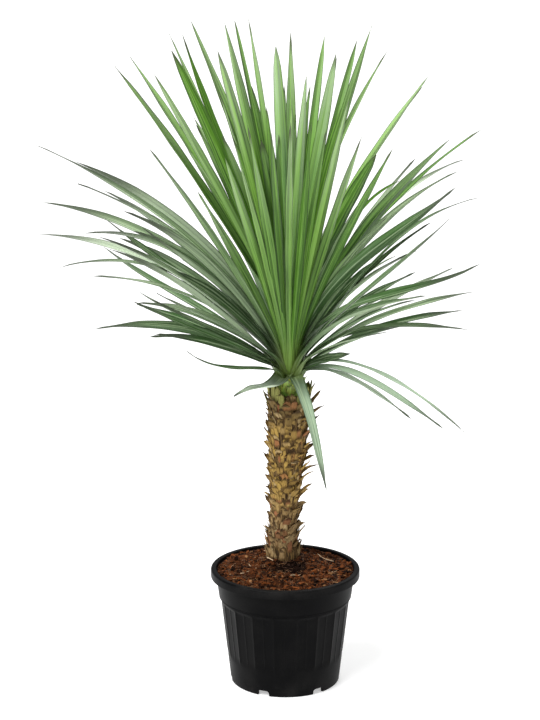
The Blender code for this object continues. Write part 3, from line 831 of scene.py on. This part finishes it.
def add_stub(shape, template, draw, height, azimuth, stem_radius, size, lean, traits, sink, end):
    """Add a scale of (thickness, width, length) that starts under the stem's surface and leans out.

    sink is how deep its foot lies in the stem, and end how wide its torn end is, as a share of its width.
    """
    thickness, width, length = size
    out = Vector((math.cos(azimuth), math.sin(azimuth), 0))
    sideways = Vector((-math.sin(azimuth), math.cos(azimuth), 0))
    foot = stem_axis(height) + out * (stem_radius - sink)
    torn = [1 - 0.22 * abs(i - 4) / 4 - draw.uniform(0, 0.16) for i in range(9)]
    outline = ((0, 0.95), (0.35, 1.0), (0.70, 0.80), (1, end))
    curl = draw.uniform(-0.15, 0.35)
    twist = draw.uniform(-0.18, 0.18)
    lump_place = Vector((draw.uniform(0, 50), 0, 0))

    def bend(spot):
        across, along, through = spot
        reach = along * (torn[int((across + 1) * 4)] if along > 0.55 else 1)
        angle = lean + curl * reach * reach
        up = UP * math.cos(angle) + out * math.sin(angle)
        face = out * math.cos(angle) - UP * math.sin(angle)
        half = width / 2 * between(outline, reach)
        hug = -(across * half) ** 2 / (2.4 * stem_radius)
        depth = thickness * (1 - 0.70 * reach) * (1 - 0.5 * across * across)
        lump = 0.0011 * noise.noise(lump_place + Vector((across * 1.6, reach * 2.5, 0)))
        lift = hug + lump + (through + 0.5) * depth + twist * across * half * reach
        return foot + up * length * reach + sideways * across * half + face * lift, {
            "across": across, "along": reach}

    add_copy(shape, template, bend, traits)


def stub_habit(azimuth, length, lean):
    """Fit a stub's length and lean to its side of the trunk."""
    right, front = math.cos(azimuth), max(0, -math.sin(azimuth))
    return length * (1 + RIGHT_LONGER * right), lean * (1 - FRONT_LEAN * front) + RIGHT_LEAN * max(0, right)


def stub_traits(height):
    age = (height - MIX_MIDDLE) / (TRUNK_TOP - MIX_MIDDLE)
    return {"tone": extra_draw.random(), "dry": extra_draw.random(), "age": age}


def cover(strip, height, azimuth, size, lean, traits, sink, end):
    """Add a stub, a scar or a fibre to the trunk."""
    stem_radius = between(TRUNK_SHAPE, height)
    add_stub(stubs, strip, extra_draw, height, azimuth, stem_radius, size, lean, traits, sink, end)


stub_strip = strip_template(8, 6)
stubs = empty_shape()
stub_draw = random.Random(7)
extra_draw = random.Random(70)
for i in range(STUBS):
    height = STUB_LOWEST + (STUB_HIGHEST - STUB_LOWEST) * i / (STUBS - 1)
    azimuth = i * GOLDEN_ANGLE + stub_draw.uniform(-STUB_JITTER, STUB_JITTER)
    length = stub_draw.uniform(*STUB_LENGTHS)
    width = stub_draw.uniform(*STUB_WIDTHS)
    length, lean = stub_habit(azimuth, length, stub_draw.uniform(*STUB_LEANS))
    cover(stub_strip, height, azimuth, (STUB_THICKNESS, width, length), lean, stub_traits(height), STUB_SINK,
          extra_draw.uniform(*STUB_ENDS))
print(f"stubs: {len(stubs.faces)} faces")

# %% [markdown]
# Between the stubs lie the scars of leaves that were torn off lower down: smaller, thinner scales that hug
# the stem and overlap like tiles. Old leaf bases also fray into fibres. Narrow strips close to the stem
# fill the last gaps and hide the regular pattern that the golden angle gives. Scars and fibres are strips
# with fewer faces, because there are many.
#
# The last stubs, at the top of the trunk, are tall. They stand a little out from the stem, upright round
# the neck, so that they cover the foot of its leaf bases, and they are shorter in front.

# %% Add scars, fibres and the tall stubs at the top
SCARS = 420
SCAR_THICKNESS = 0.0022
SCAR_WIDTHS = (0.006, 0.015)
SCAR_LENGTHS = (0.016, 0.030)
TRUNK_FIBRES = 420
TRUNK_FIBRE_THICKNESS = 0.0016
TRUNK_FIBRE_WIDTHS = (0.003, 0.008)
TRUNK_FIBRE_LENGTHS = (0.014, 0.034)
TALL_STUB_THICKNESS = 0.0045
TALL_STUB_SINK = -0.002
TALL_STUB_AGE = 1.15
scar_strip = strip_template(6, 4)
for i in range(SCARS):
    height = MIX_MIDDLE - 0.004 + (TRUNK_TOP - MIX_MIDDLE - 0.016) * (i + extra_draw.random()) / SCARS
    size = (SCAR_THICKNESS, extra_draw.uniform(*SCAR_WIDTHS), extra_draw.uniform(*SCAR_LENGTHS))
    lean = math.radians(extra_draw.uniform(1, 6))
    cover(scar_strip, height, extra_draw.uniform(0, math.tau), size, lean, stub_traits(height), 0.0005,
          extra_draw.uniform(0.3, 0.7))

fibre_strip = strip_template(2, 5)
for i in range(TRUNK_FIBRES):
    height = extra_draw.uniform(MIX_MIDDLE - 0.008, TRUNK_TOP - 0.014)
    width, length = extra_draw.uniform(*TRUNK_FIBRE_WIDTHS), extra_draw.uniform(*TRUNK_FIBRE_LENGTHS)
    lean = math.radians(2 + 16 * extra_draw.random() ** 2)
    size = (TRUNK_FIBRE_THICKNESS, width, length)
    cover(fibre_strip, height, extra_draw.uniform(0, math.tau), size, lean, stub_traits(height), 0.001, 0.2)

# Each row is the azimuth in degrees, the foot's height, the width and the length in millimetres, the lean,
# and how dry the stub is. The driest ones are reddish.
TALL_STUBS = (
    (-168, 570, 17, 40, 9, 0.4), (-146, 574, 16, 44, 5, 0.5), (-126, 572, 15, 38, 4, 0.3),
    (-112, 562, 13, 34, 3, 0.6), (-96, 558, 17, 24, 6, 1.0), (-76, 560, 16, 22, 8, 0.95),
    (-60, 566, 15, 30, 6, 0.5), (-38, 573, 16, 36, 9, 0.4), (-14, 571, 18, 42, 12, 0.6),
    (8, 574, 16, 40, 14, 0.4), (32, 570, 18, 38, 12, 0.7), (58, 573, 17, 42, 9, 0.5),
    (84, 569, 18, 38, 8, 0.3), (110, 574, 17, 40, 9, 0.4), (136, 570, 18, 42, 11, 0.5),
    (162, 573, 17, 36, 13, 0.6), (176, 560, 15, 34, 20, 0.4),
)
for azimuth, height, width, length, lean, dry_share in TALL_STUBS:
    size = (TALL_STUB_THICKNESS, width / 1000, length / 1000)
    traits = {"tone": 0.6 * extra_draw.random(), "dry": dry_share, "age": TALL_STUB_AGE}
    cover(stub_strip, height / 1000, math.radians(azimuth), size, math.radians(lean), traits,
          TALL_STUB_SINK, 0.35)
print(f"stubs and fibres: {len(stubs.faces)} faces")

# %% [markdown]
# The stubs are tan at the foot of the trunk, golden in its middle and brown near its top, and dark at their
# torn ends. The foot of each stub is darkened too: painted shade, where it lies in the crevices behind the
# stubs below. The tall ones at the top are still olive green, and here and there a stub is reddish or pale.
# Fine fibres run along each one. All of this follows the strip's own across and along traits, so the fibres
# run up each stub whichever way it points. The age trait is how high the stub grows, from 0 to 1, and more
# for the tall ones.

# %% Finish the trunk
fibre_finish = Finish("torn leaf stubs")
step, mix = fibre_finish.step, fibre_finish.mix
across, along, tone, age, dry = (fibre_finish.attribute(name) for name in TRAITS)
lines = fibre_finish.speckle(fibre_finish.vector(across * 9, along * 1.3, tone * 40), 1.6, 3, .6)
blotch = fibre_finish.speckle(fibre_finish.place(), 70, 3, .6)
from_middle = fibre_finish.maths("ABSOLUTE", across)
golden = mix(tone, (.500, .325, .080), (.330, .205, .060))
brown = mix(tone, (.235, .155, .055), (.140, .100, .040))
olive = mix(tone, (.310, .320, .095), (.180, .180, .060))
tan = fibre_finish.paint(
    mix(tone, (.460, .320, .150), (.300, .190, .085)),
    (step(age, .15, .42), golden),
    (step(age, .70, .90), brown),
    (step(age + .2 * blotch, 1.08, 1.18), olive),
    (step(dry, .86, .94) * .8, (.300, .105, .050)),
    (step(dry, .16, .06) * .8, (.520, .380, .190)))
torn_end = step(along + .30 * lines + .25 * tone, .90, 1.12)
# Painted shade: the foot of each stub is darkened, where it lies in the crevices behind the stubs below.
crevice_shade = step(along + .30 * blotch, .42, .18)
tan = fibre_finish.paint(
    tan,
    (step(from_middle + .3 * lines, .95, 1.20) * .6, (.060, .034, .014)),
    (step(lines, .55, .33) * .70, (.085, .045, .015)),
    (torn_end * .80, (.030, .017, .009)),
    (crevice_shade * .65, (.070, .036, .011)))
fibre_finish.coat(tan, .70 + .2 * lines, .12, lines + .4 * blotch, .8, .0012)

stem_finish = Finish("fibrous stem")
stem_lines = stem_finish.speckle(stem_finish.stretched((420, 420, 30)), 1, 4, .65)
stem_colour = stem_finish.mix(stem_finish.step(stem_lines, .42, .65), (.030, .015, .005), (.200, .120, .040))
stem_finish.coat(stem_colour, .85, .2, stem_lines, .9, .0015)

make_piece("stem_under_the_stubs", stem, stem_finish, "trunk")
make_piece("trunk_stubs", stubs, fibre_finish, "trunk", 50)

# %% [markdown]
# ## The leaves
#
# A cordyline's leaf is a sword: narrow where it leaves the stem, widest about half way, and drawn out to a
# fine point. It is folded along its middle like a shallow keel, and fine veins run along it. It grows from
# the stem with its face inwards and then turns that face to the light.
#
# A curve with two handles is enough for the way a leaf arches. The handles are set by two angles, because
# they can be read off the photograph: how far the leaf starts above the straight line to its tip, and how
# far it ends below it.

# %% Describe one leaf
LIGHT = Vector((0.1, -1.0, 0.7))
TURN_TO_LIGHT = 0.5
TURN_SHARE = 0.25
LEAF_FOLD = math.radians(13)
LEAF_THICKNESS = 0.0011
LEAST_WIDTH = 0.0042
WRAP_RADIUS = 0.024
BLADE_OUTLINE = ((0, 1.15), (.05, .82), (.10, .56), (.22, .76), (.42, 1), (.62, 1), (.80, .84), (.92, .54),
                 (1, .02))
OLD_OUTLINE = ((0, 1.60), (.15, 1.50), (.40, 1.20), (.65, .88), (.85, .50), (1, .03))


class Leaf:
    """A sword-shaped blade on a curve from its root to its tip.

    The clasp is a shift of the root, which fades out over the first part of the blade. It lets a blade start
    upright against the stem, where it wraps round it, and bend out to where its solid lies.
    """

    def __init__(self, root, tip, rise, fall, width, roll, clasp, clasp_share):
        chord = tip - root
        along = chord.normalized()
        above = (UP - along * along.z).normalized()
        rise, fall = math.radians(rise), math.radians(fall)
        third = chord.length / 3
        self.handles = (root, root + third * (math.cos(rise) * along + math.sin(rise) * above),
                        tip - third * (math.cos(fall) * along - math.sin(fall) * above), tip)
        self.flat = along.cross(UP).normalized()
        self.width = width
        facing = math.atan2(LIGHT.dot(self.flat), LIGHT.dot(self.flat.cross(along)))
        facing = (facing + math.pi / 2) % math.pi - math.pi / 2
        self.roll = TURN_TO_LIGHT * facing + roll
        self.lean = chord.angle(UP)
        self.clasp, self.clasp_share = clasp, clasp_share

    def frame(self, share):
        """The blade's middle, its side direction and that of its upper face, at a share of its length."""
        a, b, c, d = self.handles
        rest = 1 - share
        fade = max(0, 1 - share / self.clasp_share)
        middle = rest ** 3 * a + 3 * rest ** 2 * share * b + 3 * rest * share ** 2 * c + share ** 3 * d
        middle = middle + self.clasp * fade * fade
        along = 3 * (rest ** 2 * (b - a) + 2 * rest * share * (c - b) + share ** 2 * (d - c))
        along = (along - self.clasp * 2 * fade / self.clasp_share).normalized()
        side = (self.flat - along * self.flat.dot(along)).normalized()
        side = Matrix.Rotation(self.roll * min(1, share / TURN_SHARE), 3, along) @ side
        return middle, side, side.cross(along)


def add_blade(shape, template, rows, leaf, outline, sharpness, traits, draw):
    """Bend a strip onto a leaf's curve: wrapped at its base, keeled, and a little wavy at its margins.

    sharpness is a range: below 1 the blade keeps its width almost to the tip, above 1 it ends in a long tail.
    """
    sharpness = draw.uniform(*sharpness)
    frames = [leaf.frame(i / rows) for i in range(rows + 1)]
    widths = [between(outline, i / rows) for i in range(rows + 1)]
    widths = [leaf.width / 2 * (w ** sharpness if i > rows / 2 else w) for i, w in enumerate(widths)]
    widths = [max(width, LEAST_WIDTH / 2) for width in widths[:-1]] + widths[-1:]
    phase = draw.uniform(0, math.tau)
    waves = draw.uniform(2.5, 5)
    wave_height = draw.uniform(0.0002, 0.0010)
    keel = math.tan(LEAF_FOLD * draw.uniform(1.1, 2.5))

    def bend(spot):
        across, along, through = spot
        row = round(along * rows)
        middle, side, face = frames[row]
        half = widths[row]
        wrap = max(0, 1 - along / leaf.clasp_share)
        fold = half * keel * (math.sqrt(across * across + 0.008) - 0.09) * (1 - wrap)
        fold += wrap * (across * half) ** 2 / (2 * WRAP_RADIUS)
        wave = wave_height * across * math.sin(waves * math.tau * along + phase)
        thickness = LEAF_THICKNESS * (1.25 - 0.75 * abs(across)) * (1.3 - 0.6 * along)
        lift = fold + wave + (through + 0.5) * thickness
        return middle + side * across * half + face * lift, {"across": across, "along": along}

    add_copy(shape, template, bend, traits)


print("a leaf has", len(BLADE_OUTLINE), "widths along its length")

# %% [markdown]
# ## The crown
#
# The crown is made by the rule by which it grew. Leaves start at the golden angle from each other round the
# stem, the youngest upright in the middle and the older ones leaning further out. The leaves that give the
# crown its outline in the photograph are listed by the place of their tips, and the rule fills in the
# others. The random draws are those of the CAD crown, in the same order, so that each finer leaf lies where
# its solid does.

# %% Leaves that make the outline
MATURE_TOP = 0.682
STEM_TIP = 0.770
NECK_RADII = (0.027, 0.024)
CROWN_RADIUS = 0.0245
HEART_RADIUS = 0.022
TIP_RADIUS = 0.008
CROWN_HEART = Vector((0.008, STEM_BACK, 0.672))
FLATTEST_LEAN = math.radians(95)
MARKED_ROLL = 22

# Each row is the tip's place from the crown's heart, the rise at the root and the fall at the tip in
# degrees, and the width in millimetres.
YOUNG_TIPS = (
    (-.327, -.11, .563, 3, 3, 26),
    (-.317, .10, .571, 6, 4, 20),
    (-.244, -.25, .557, 4, 3, 15),
    (-.234, .02, .619, 2, 2, 15),
    (-.216, -.19, .595, 2, 3, 24),
    (-.214, .13, .612, 2, -4, 21),
    (-.193, .02, .646, 8, 5, 21),
    (-.130, -.25, .597, 2, 3, 21),
    (-.123, -.09, .642, 1, 2, 22),
    (-.110, .12, .640, 3, 3, 16),
    (-.079, -.08, .650, 1, 2, 16),
    (-.027, -.18, .602, 1, 3, 24),
    (.000, -.13, .626, 1, 1, 22),
    (.028, -.27, .555, 2, 3, 20),
    (.069, .17, .610, 1, 2, 18),
    (.083, -.17, .590, 2, 3, 23),
    (.097, .27, .565, 2, 3, 20),
    (.137, .24, .599, 4, 4, 18),
    (.152, -.08, .637, 2, 3, 24),
    (.181, -.07, .588, 14, 12, 15),
    (.252, -.18, .550, 14, 9, 14),
    (.260, .09, .512, 14, 9, 12),
    (.157, -.20, .408, 7, 4, 28),
)
MATURE_TIPS = (
    (-.247, -.36, .436, 6, 5, 14),
    (-.491, -.02, .408, 25, 18, 18),
    (-.385, -.27, .402, 24, 20, 22),
    (-.393, -.18, .352, 25, 20, 18),
    (-.393, .28, .284, 16, 18, 19),
    (-.482, -.02, .297, 31, 28, 22),
    (-.293, -.34, .322, 12, 18, 24),
    (-.362, -.34, .283, 23, 32, 26),
    (-.467, -.17, .256, 23, 26, 24),
    (-.404, .36, .152, 8, -5, 20),
    (-.414, -.30, .215, 33, 36, 16),
    (-.346, -.38, .213, 20, 18, 22),
    (-.336, .45, .037, 10, -6, 18),
    (-.229, -.46, .197, 10, 0, 18),
    (-.272, -.43, .177, 3, -2, 18),
    (-.250, -.30, .157, 6, -2, 20),
    (-.351, -.33, .108, 17, 19, 26),
    (-.240, -.36, .105, 6, 8, 20),
    (-.181, -.43, .090, 4, -14, 13),
    (-.171, -.20, .341, 6, 4, 18),
    (-.352, -.10, .276, 8, 0, 18),
    (-.312, -.42, .267, 3, 10, 24),
    (-.264, -.30, .287, 16, 4, 22),
    (-.339, -.32, .273, 9, 12, 24),
    (.181, -.31, .431, 8, 5, 16),
    (.269, .35, .345, 16, 13, 14),
    (.285, -.25, .440, 17, 12, 26),
    (.371, .01, .436, 20, 18, 15),
    (.363, .24, .354, 30, 32, 15),
    (.299, -.27, .385, 20, 22, 20),
    (.285, -.40, .373, 31, 6, 24),
    (.206, -.10, .348, 5, 34, 14),
    (.258, -.20, .283, 12, 12, 14),
    (.336, -.28, .339, 10, 26, 22),
    (.269, -.45, .324, 8, -2, 28),
    (.332, -.38, .236, 38, -2, 24),
    (.364, .42, .098, 12, 6, 16),
    (.231, -.47, .195, 19, 10, 26),
    (.315, -.42, .193, 12, 8, 22),
    (.385, .41, .003, 16, 9, 16),
    (.314, -.36, .114, 28, 16, 14),
    (.119, -.09, .012, 18, 8, 20),
    (.236, -.10, -.115, 60, 20, 12),
    (.292, -.19, -.112, 56, 18, 15),
    (.323, -.26, -.100, 56, 26, 11),
)
OLD_TIPS = (
    (-.105, -.23, -.040, 10, 10, 26),
    (.070, -.22, -.226, 68, 12, 21),
)


def planted_leaf(direction, place, length_share, rise, fall, width, roll):
    """Plant a leaf on the stem. place is (low, high, inset, push, drop, share).

    Steep leaves grow higher on the stem than spreading ones, between low and high, and start inset from its
    middle. The clasp pushes the base out to the stem's surface and drops it down the stem.
    """
    low, high, inset, push, drop, share = place
    height = low + (high - low) * max(0, 1 - direction.angle(UP) / FLATTEST_LEAN)
    outward = Vector((direction.x, direction.y, 0)).normalized()
    clasp = outward * push - UP * drop
    tip = CROWN_HEART + direction * length_share
    return Leaf(stem_axis(height) + outward * inset, tip, rise, fall, width, roll, clasp, share)


def marked_leaves(rows, place):
    leaves = []
    for x, y, z, rise, fall, width in rows:
        roll = math.radians(crown_draw.uniform(-MARKED_ROLL, MARKED_ROLL))
        leaves.append(planted_leaf(Vector((x, y, z)), place, 1, rise, fall, width / 1000, roll))
    return leaves


crown_draw = random.Random(11)
print("marked leaves:", len(YOUNG_TIPS) + len(MATURE_TIPS) + len(OLD_TIPS))

# %% [markdown]
# The rule then fills the crown. Each leaf is turned from the last one by the golden angle and leans a
# little more, and its length, width and bends are drawn from a range. The mature ones leave the front open,
# where the listed leaves show, and nine steep ones fill the middle of that gap. Leaves at the sides and low
# down are shorter, as the outline in the photograph asks.

# %% Leaves that fill the crown
YOUNG_PLACE = (MATURE_TOP - 0.05, STEM_TIP - 0.012, 0.004, 0.008, 0.012, 0.08)
MATURE_PLACE = (NECK_TOP + 0.006, MATURE_TOP - 0.004, 0.012, 0.010, 0.022, 0.12)
FRONT_PLACE = (NECK_TOP + 0.006, MATURE_TOP - 0.024, 0.012, 0.010, 0.022, 0.12)
OLD_PLACE = (TRUNK_TOP + 0.012, NECK_TOP - 0.011, 0.020, 0.002, -0.030, 0.35)
YOUNG_FILL = 38
YOUNG_SPREAD = math.radians(21)
YOUNG_JITTER = 0.2
FAN_TILT = math.radians(-8)
MATURE_FILL = 27
MATURE_LEANS = (42, 80)
MATURE_JITTER = (-3, 3)
RIGHT_SHORTER = 0.36
LEFT_SHORTER = 0.20
LOW_SHORTER = 0.24
OPEN_FRONT = math.radians(38)
FRONT_FILL = 9
FRONT_SECTOR = math.radians(27)
FRONT_LEANS = (31, 38)
YOUNG_RANGES = ((0.42, 0.53), (0.014, 0.022), (0, 4), (1, 5))
MATURE_RANGES = ((0.44, 0.55), (0.015, 0.023), (10, 22), (8, 24))
FRONT_RANGES = ((0.50, 0.62), (0.014, 0.020), (2, 6), (1, 4))
FILL_ROLL = 45


def pointing(lean, azimuth):
    return Vector((math.sin(lean) * math.cos(azimuth), math.sin(lean) * math.sin(azimuth), math.cos(lean)))


def filling_leaf(direction, place, ranges, shorter=0):
    """A leaf of drawn length, width, rise, fall and roll."""
    length, width, rise, fall = [crown_draw.uniform(*limits) for limits in ranges]
    roll = math.radians(crown_draw.uniform(-FILL_ROLL, FILL_ROLL))
    return planted_leaf(direction, place, length * (1 - shorter), rise, fall, width, roll)


young = marked_leaves(YOUNG_TIPS, YOUNG_PLACE)
for i in range(YOUNG_FILL):
    lean = YOUNG_SPREAD * math.sqrt((i + 0.5) / YOUNG_FILL)
    direction = pointing(lean, i * GOLDEN_ANGLE + crown_draw.uniform(-YOUNG_JITTER, YOUNG_JITTER))
    direction.rotate(Matrix.Rotation(FAN_TILT, 3, "Y"))
    young.append(filling_leaf(direction, YOUNG_PLACE, YOUNG_RANGES))

mature = marked_leaves(MATURE_TIPS, MATURE_PLACE)
for i in range(MATURE_FILL):
    turn = (i * GOLDEN_ANGLE) % math.tau
    azimuth = -math.pi / 2 + OPEN_FRONT + turn * (1 - OPEN_FRONT / math.pi)
    lean = MATURE_LEANS[0] + (MATURE_LEANS[1] - MATURE_LEANS[0]) * (i + 0.5) / MATURE_FILL
    direction = pointing(math.radians(lean + crown_draw.uniform(*MATURE_JITTER)), azimuth)
    side = RIGHT_SHORTER if math.cos(azimuth) > 0 else LEFT_SHORTER
    shorter = side * abs(math.cos(azimuth)) + LOW_SHORTER * (i / MATURE_FILL) ** 2
    mature.append(filling_leaf(direction, MATURE_PLACE, MATURE_RANGES, shorter))
for i in range(FRONT_FILL):
    azimuth = -math.pi / 2 + FRONT_SECTOR * (2 * (i + 0.5) / FRONT_FILL - 1)
    direction = pointing(math.radians(crown_draw.uniform(*FRONT_LEANS)), azimuth)
    mature.append(filling_leaf(direction, FRONT_PLACE, FRONT_RANGES))

old = marked_leaves(OLD_TIPS, OLD_PLACE)
print(f"leaves: {len(young)} young, {len(mature)} mature, {len(old)} old")

# %% [markdown]
# The colour of a leaf goes by its lean, because lean is age in this plant: upright leaves are a fresh
# yellow green, spreading ones a deeper green, and the ones that have sunk below the level are pale and dry.
# The age trait holds that as a number from 0 to 2.
#
# The tone trait goes from 0, the darkest green, to 1, a pale mint. The highest tones are a painted sheen, the
# pale glint of leaves whose faces catch the light, most of them at the left. The marked leaves have their
# tones listed in the order of their rows. The last three mature ones and the leaves of the rule draw theirs.

# %% Build the blades
BLADE_ROWS = 28
FILL_TONES = (0.05, 0.86)
YOUNG_TONES = (.55, .45, .80, .80, .00, .15, .45, .60, .50, .30, .50, .86, .60, .84, .35, .84, .25, .30, .35,
               .60, .80, .50, .15)
MATURE_TONES = (.50, .78, .84, .82, .20, .75, .82, .70, .88, .20, .60, .80, .40, .50, .15, .20, .25, .10, .10,
                .50, .20, .86, .82, .78, .20, .50, .30, .15, .85, .80, .10, .15, .30, .25, .45, .20, .75, .50,
                .75, .15, .40, .35)
blade_strip = strip_template(8, BLADE_ROWS)
look_draw = random.Random(5)


def leaf_age(leaf):
    """0 upright and fresh, 1 spreading and mature, 2 sunk and pale."""
    lean = math.degrees(leaf.lean)
    return smooth_step((lean - 18) / 38) + smooth_step((lean - 86) / 8)


def leafy_piece(node, stations, leaves, tones, sharpness):
    """Build all leaves of one age on their length of stem."""
    shape = ringed_stem(stations, 24, 10, 0.0004)
    for i, leaf in enumerate(leaves):
        tone = tones[i] if i < len(tones) else look_draw.uniform(*FILL_TONES)
        traits = {"tone": tone, "dry": look_draw.random(), "age": leaf_age(leaf)}
        add_blade(shape, blade_strip, BLADE_ROWS, leaf, BLADE_OUTLINE, sharpness, traits, look_draw)
    make_piece(f"{node}_piece", shape, leaf_finish, node, 60)


# %% [markdown]
# The leaf finish is built in layers, from the leaf's whole to its smallest marks. First comes the colour of
# its age, fresh, deep or washed green, each of them lighter where the tone trait is high. The dry trait of
# a leaf is a random number from 0 to 1. The bases round the neck have 2 there, which makes them yellow
# green.

# %% Colour the leaves by age
leaf_finish = Finish("cordyline leaf")
step, mix, paint = leaf_finish.step, leaf_finish.mix, leaf_finish.paint
across, along, tone, age, dry = (leaf_finish.attribute(name) for name in TRAITS)
# High tones turn a leaf pale mint: a painted sheen, as of a leaf whose face catches the light.
mint_sheen = step(tone, .78, .90)
elder = step(age, .5, .9)
brightness = step(tone, .1, .9)
fresh = paint(mix(brightness, (.085, .225, .013), (.240, .480, .065)), (mint_sheen, (.300, .520, .240)))
deep = paint(mix(brightness, (.048, .112, .030), (.280, .390, .215)), (mint_sheen, (.680, .800, .600)))
washed = mix(tone, (.355, .480, .330), (.575, .670, .565))
green = paint(
    fresh,
    (step(age, 0, 1), deep),
    (step(age, 1, 1.9), washed),
    (step(dry, 1.2, 1.8) * .75, (.390, .400, .070)))
print("colours by age are ready")

# %% [markdown]
# Over these colours comes what light and wear do to a leaf: a paler end, shade near the stem, a soft sheen,
# and one half of the blade darker than the other, because a keeled leaf turns only one half to the light.
# The dry trait says which half that is. Last come the fine marks: parallel veins, a pale keel, a dark
# margin, a yellow green foot, and the dark line and tail of a dry tip.
#
# The veins are noise that is squeezed across the leaf and drawn out along it. They raise the surface a
# little too, which breaks the gloss into the streaks that real leaves show.

# %% Light, shade and fine marks on the leaves
vein_place = leaf_finish.vector(across * 1.3, along * .8, tone * 60 + dry * 30)
veins = leaf_finish.speckle(vein_place, 2.2, 4, .7)
broad = leaf_finish.speckle(leaf_finish.vector(across * 1.5, along * 2.2, tone * 35), 1.3, 2)
from_keel = leaf_finish.maths("ABSOLUTE", across)

pale_end = step(along, .50, .90) * step(tone, .1, .6) * (1 - .5 * elder)
shade = step(along, .42, .08) * step(age, .35, .85)
sheen = mix(step(age, .2, .9), (.295, .530, .115), (.560, .650, .490))
sheen_share = step(broad, .46, .66) * (.10 + .50 * step(tone, .35, .85)) * (1 - shade)
turned = step(dry, .49, .51)
pale = leaf_finish.maths("MAXIMUM", mint_sheen * .6, step(age, 1, 1.4))
dark_half = step(across * (2 * turned - 1), -.06, .12) * (1 - pale)
green = paint(
    green,
    (pale_end * .58, (.450, .530, .390)),
    (shade * .75, (.022, .048, .012)),
    (sheen_share, sheen),
    (dark_half * .42, (.022, .060, .012)))

pale_line = mix(elder, (.270, .520, .100), (.450, .580, .350))
tip_line = step(along + .05 * dry + .04 * veins, .97, 1.04)
tail = step(along + .12 * dry, .78, .98) * elder
green = paint(
    green,
    (step(veins, .52, .64) * .62, pale_line),
    (step(veins, .48, .34) * (.75 - .35 * mint_sheen), (.014, .046, .006)),
    (step(from_keel, .16, .02) * .40, pale_line),
    (step(from_keel, .76, .96) * .70, (.024, .050, .014)),
    (step(along, .16, 0) * .45, (.230, .310, .055)),
    (tip_line * .8, (.065, .068, .045)),
    (tail * .85, (.060, .072, .052)))
leaf_finish.coat(green, .42 + .18 * veins, .18, veins + .5 * broad, .45, .0008)

young_stem = ((MATURE_TOP + GAP, HEART_RADIUS), (STEM_TIP, TIP_RADIUS))
mature_stem = ((NECK_TOP + GAP, CROWN_RADIUS), (MATURE_TOP, HEART_RADIUS))
leafy_piece("young_leaves", young_stem, young, YOUNG_TONES, (0.7, 1.8))
leafy_piece("mature_leaves", mature_stem, mature, MATURE_TONES, (1.3, 3.0))

# %% [markdown]
# ## The neck
#
# Between the trunk and the crown is a short neck, wrapped in the broad bases of the last leaves that fell.
# They are still alive and yellow green. They are made as stubs are, only closer to the stem and in the leaf
# finish. The two old leaves that still hang there are blades like the others, with a wider base.

# %% Wrap the neck
OLD_TONES = (0.95, 0.30)
OLD_AGE = 1.55
NECK_BASES = 24
BASE_DRY = 2
BASE_THICKNESS = 0.003
BASE_WIDTHS = (0.018, 0.026)
BASE_LENGTHS = (0.026, 0.042)
BASE_LEANS = (2, 12)
neck = ((TRUNK_TOP + GAP, NECK_RADII[0]), (NECK_TOP, NECK_RADII[1]))
neck_shape = ringed_stem(neck, 32, 10, 0.0005)
for leaf, tone_of_leaf in zip(old, OLD_TONES):
    traits = {"tone": tone_of_leaf, "dry": look_draw.random(), "age": OLD_AGE}
    add_blade(neck_shape, blade_strip, BLADE_ROWS, leaf, OLD_OUTLINE, (0.9, 1.1), traits, look_draw)
for i in range(NECK_BASES):
    height = TRUNK_TOP - 0.006 + 0.026 * i / NECK_BASES
    traits = {"tone": look_draw.uniform(0.3, 0.75), "dry": BASE_DRY, "age": look_draw.uniform(0, 0.3)}
    size = (BASE_THICKNESS, look_draw.uniform(*BASE_WIDTHS), look_draw.uniform(*BASE_LENGTHS))
    add_stub(neck_shape, stub_strip, look_draw, height, i * GOLDEN_ANGLE, NECK_RADII[0] - 0.001, size,
             math.radians(look_draw.uniform(*BASE_LEANS)), traits, 0.002, 0.5)
make_piece("neck_and_old_leaves", neck_shape, leaf_finish, "old_leaves", 60)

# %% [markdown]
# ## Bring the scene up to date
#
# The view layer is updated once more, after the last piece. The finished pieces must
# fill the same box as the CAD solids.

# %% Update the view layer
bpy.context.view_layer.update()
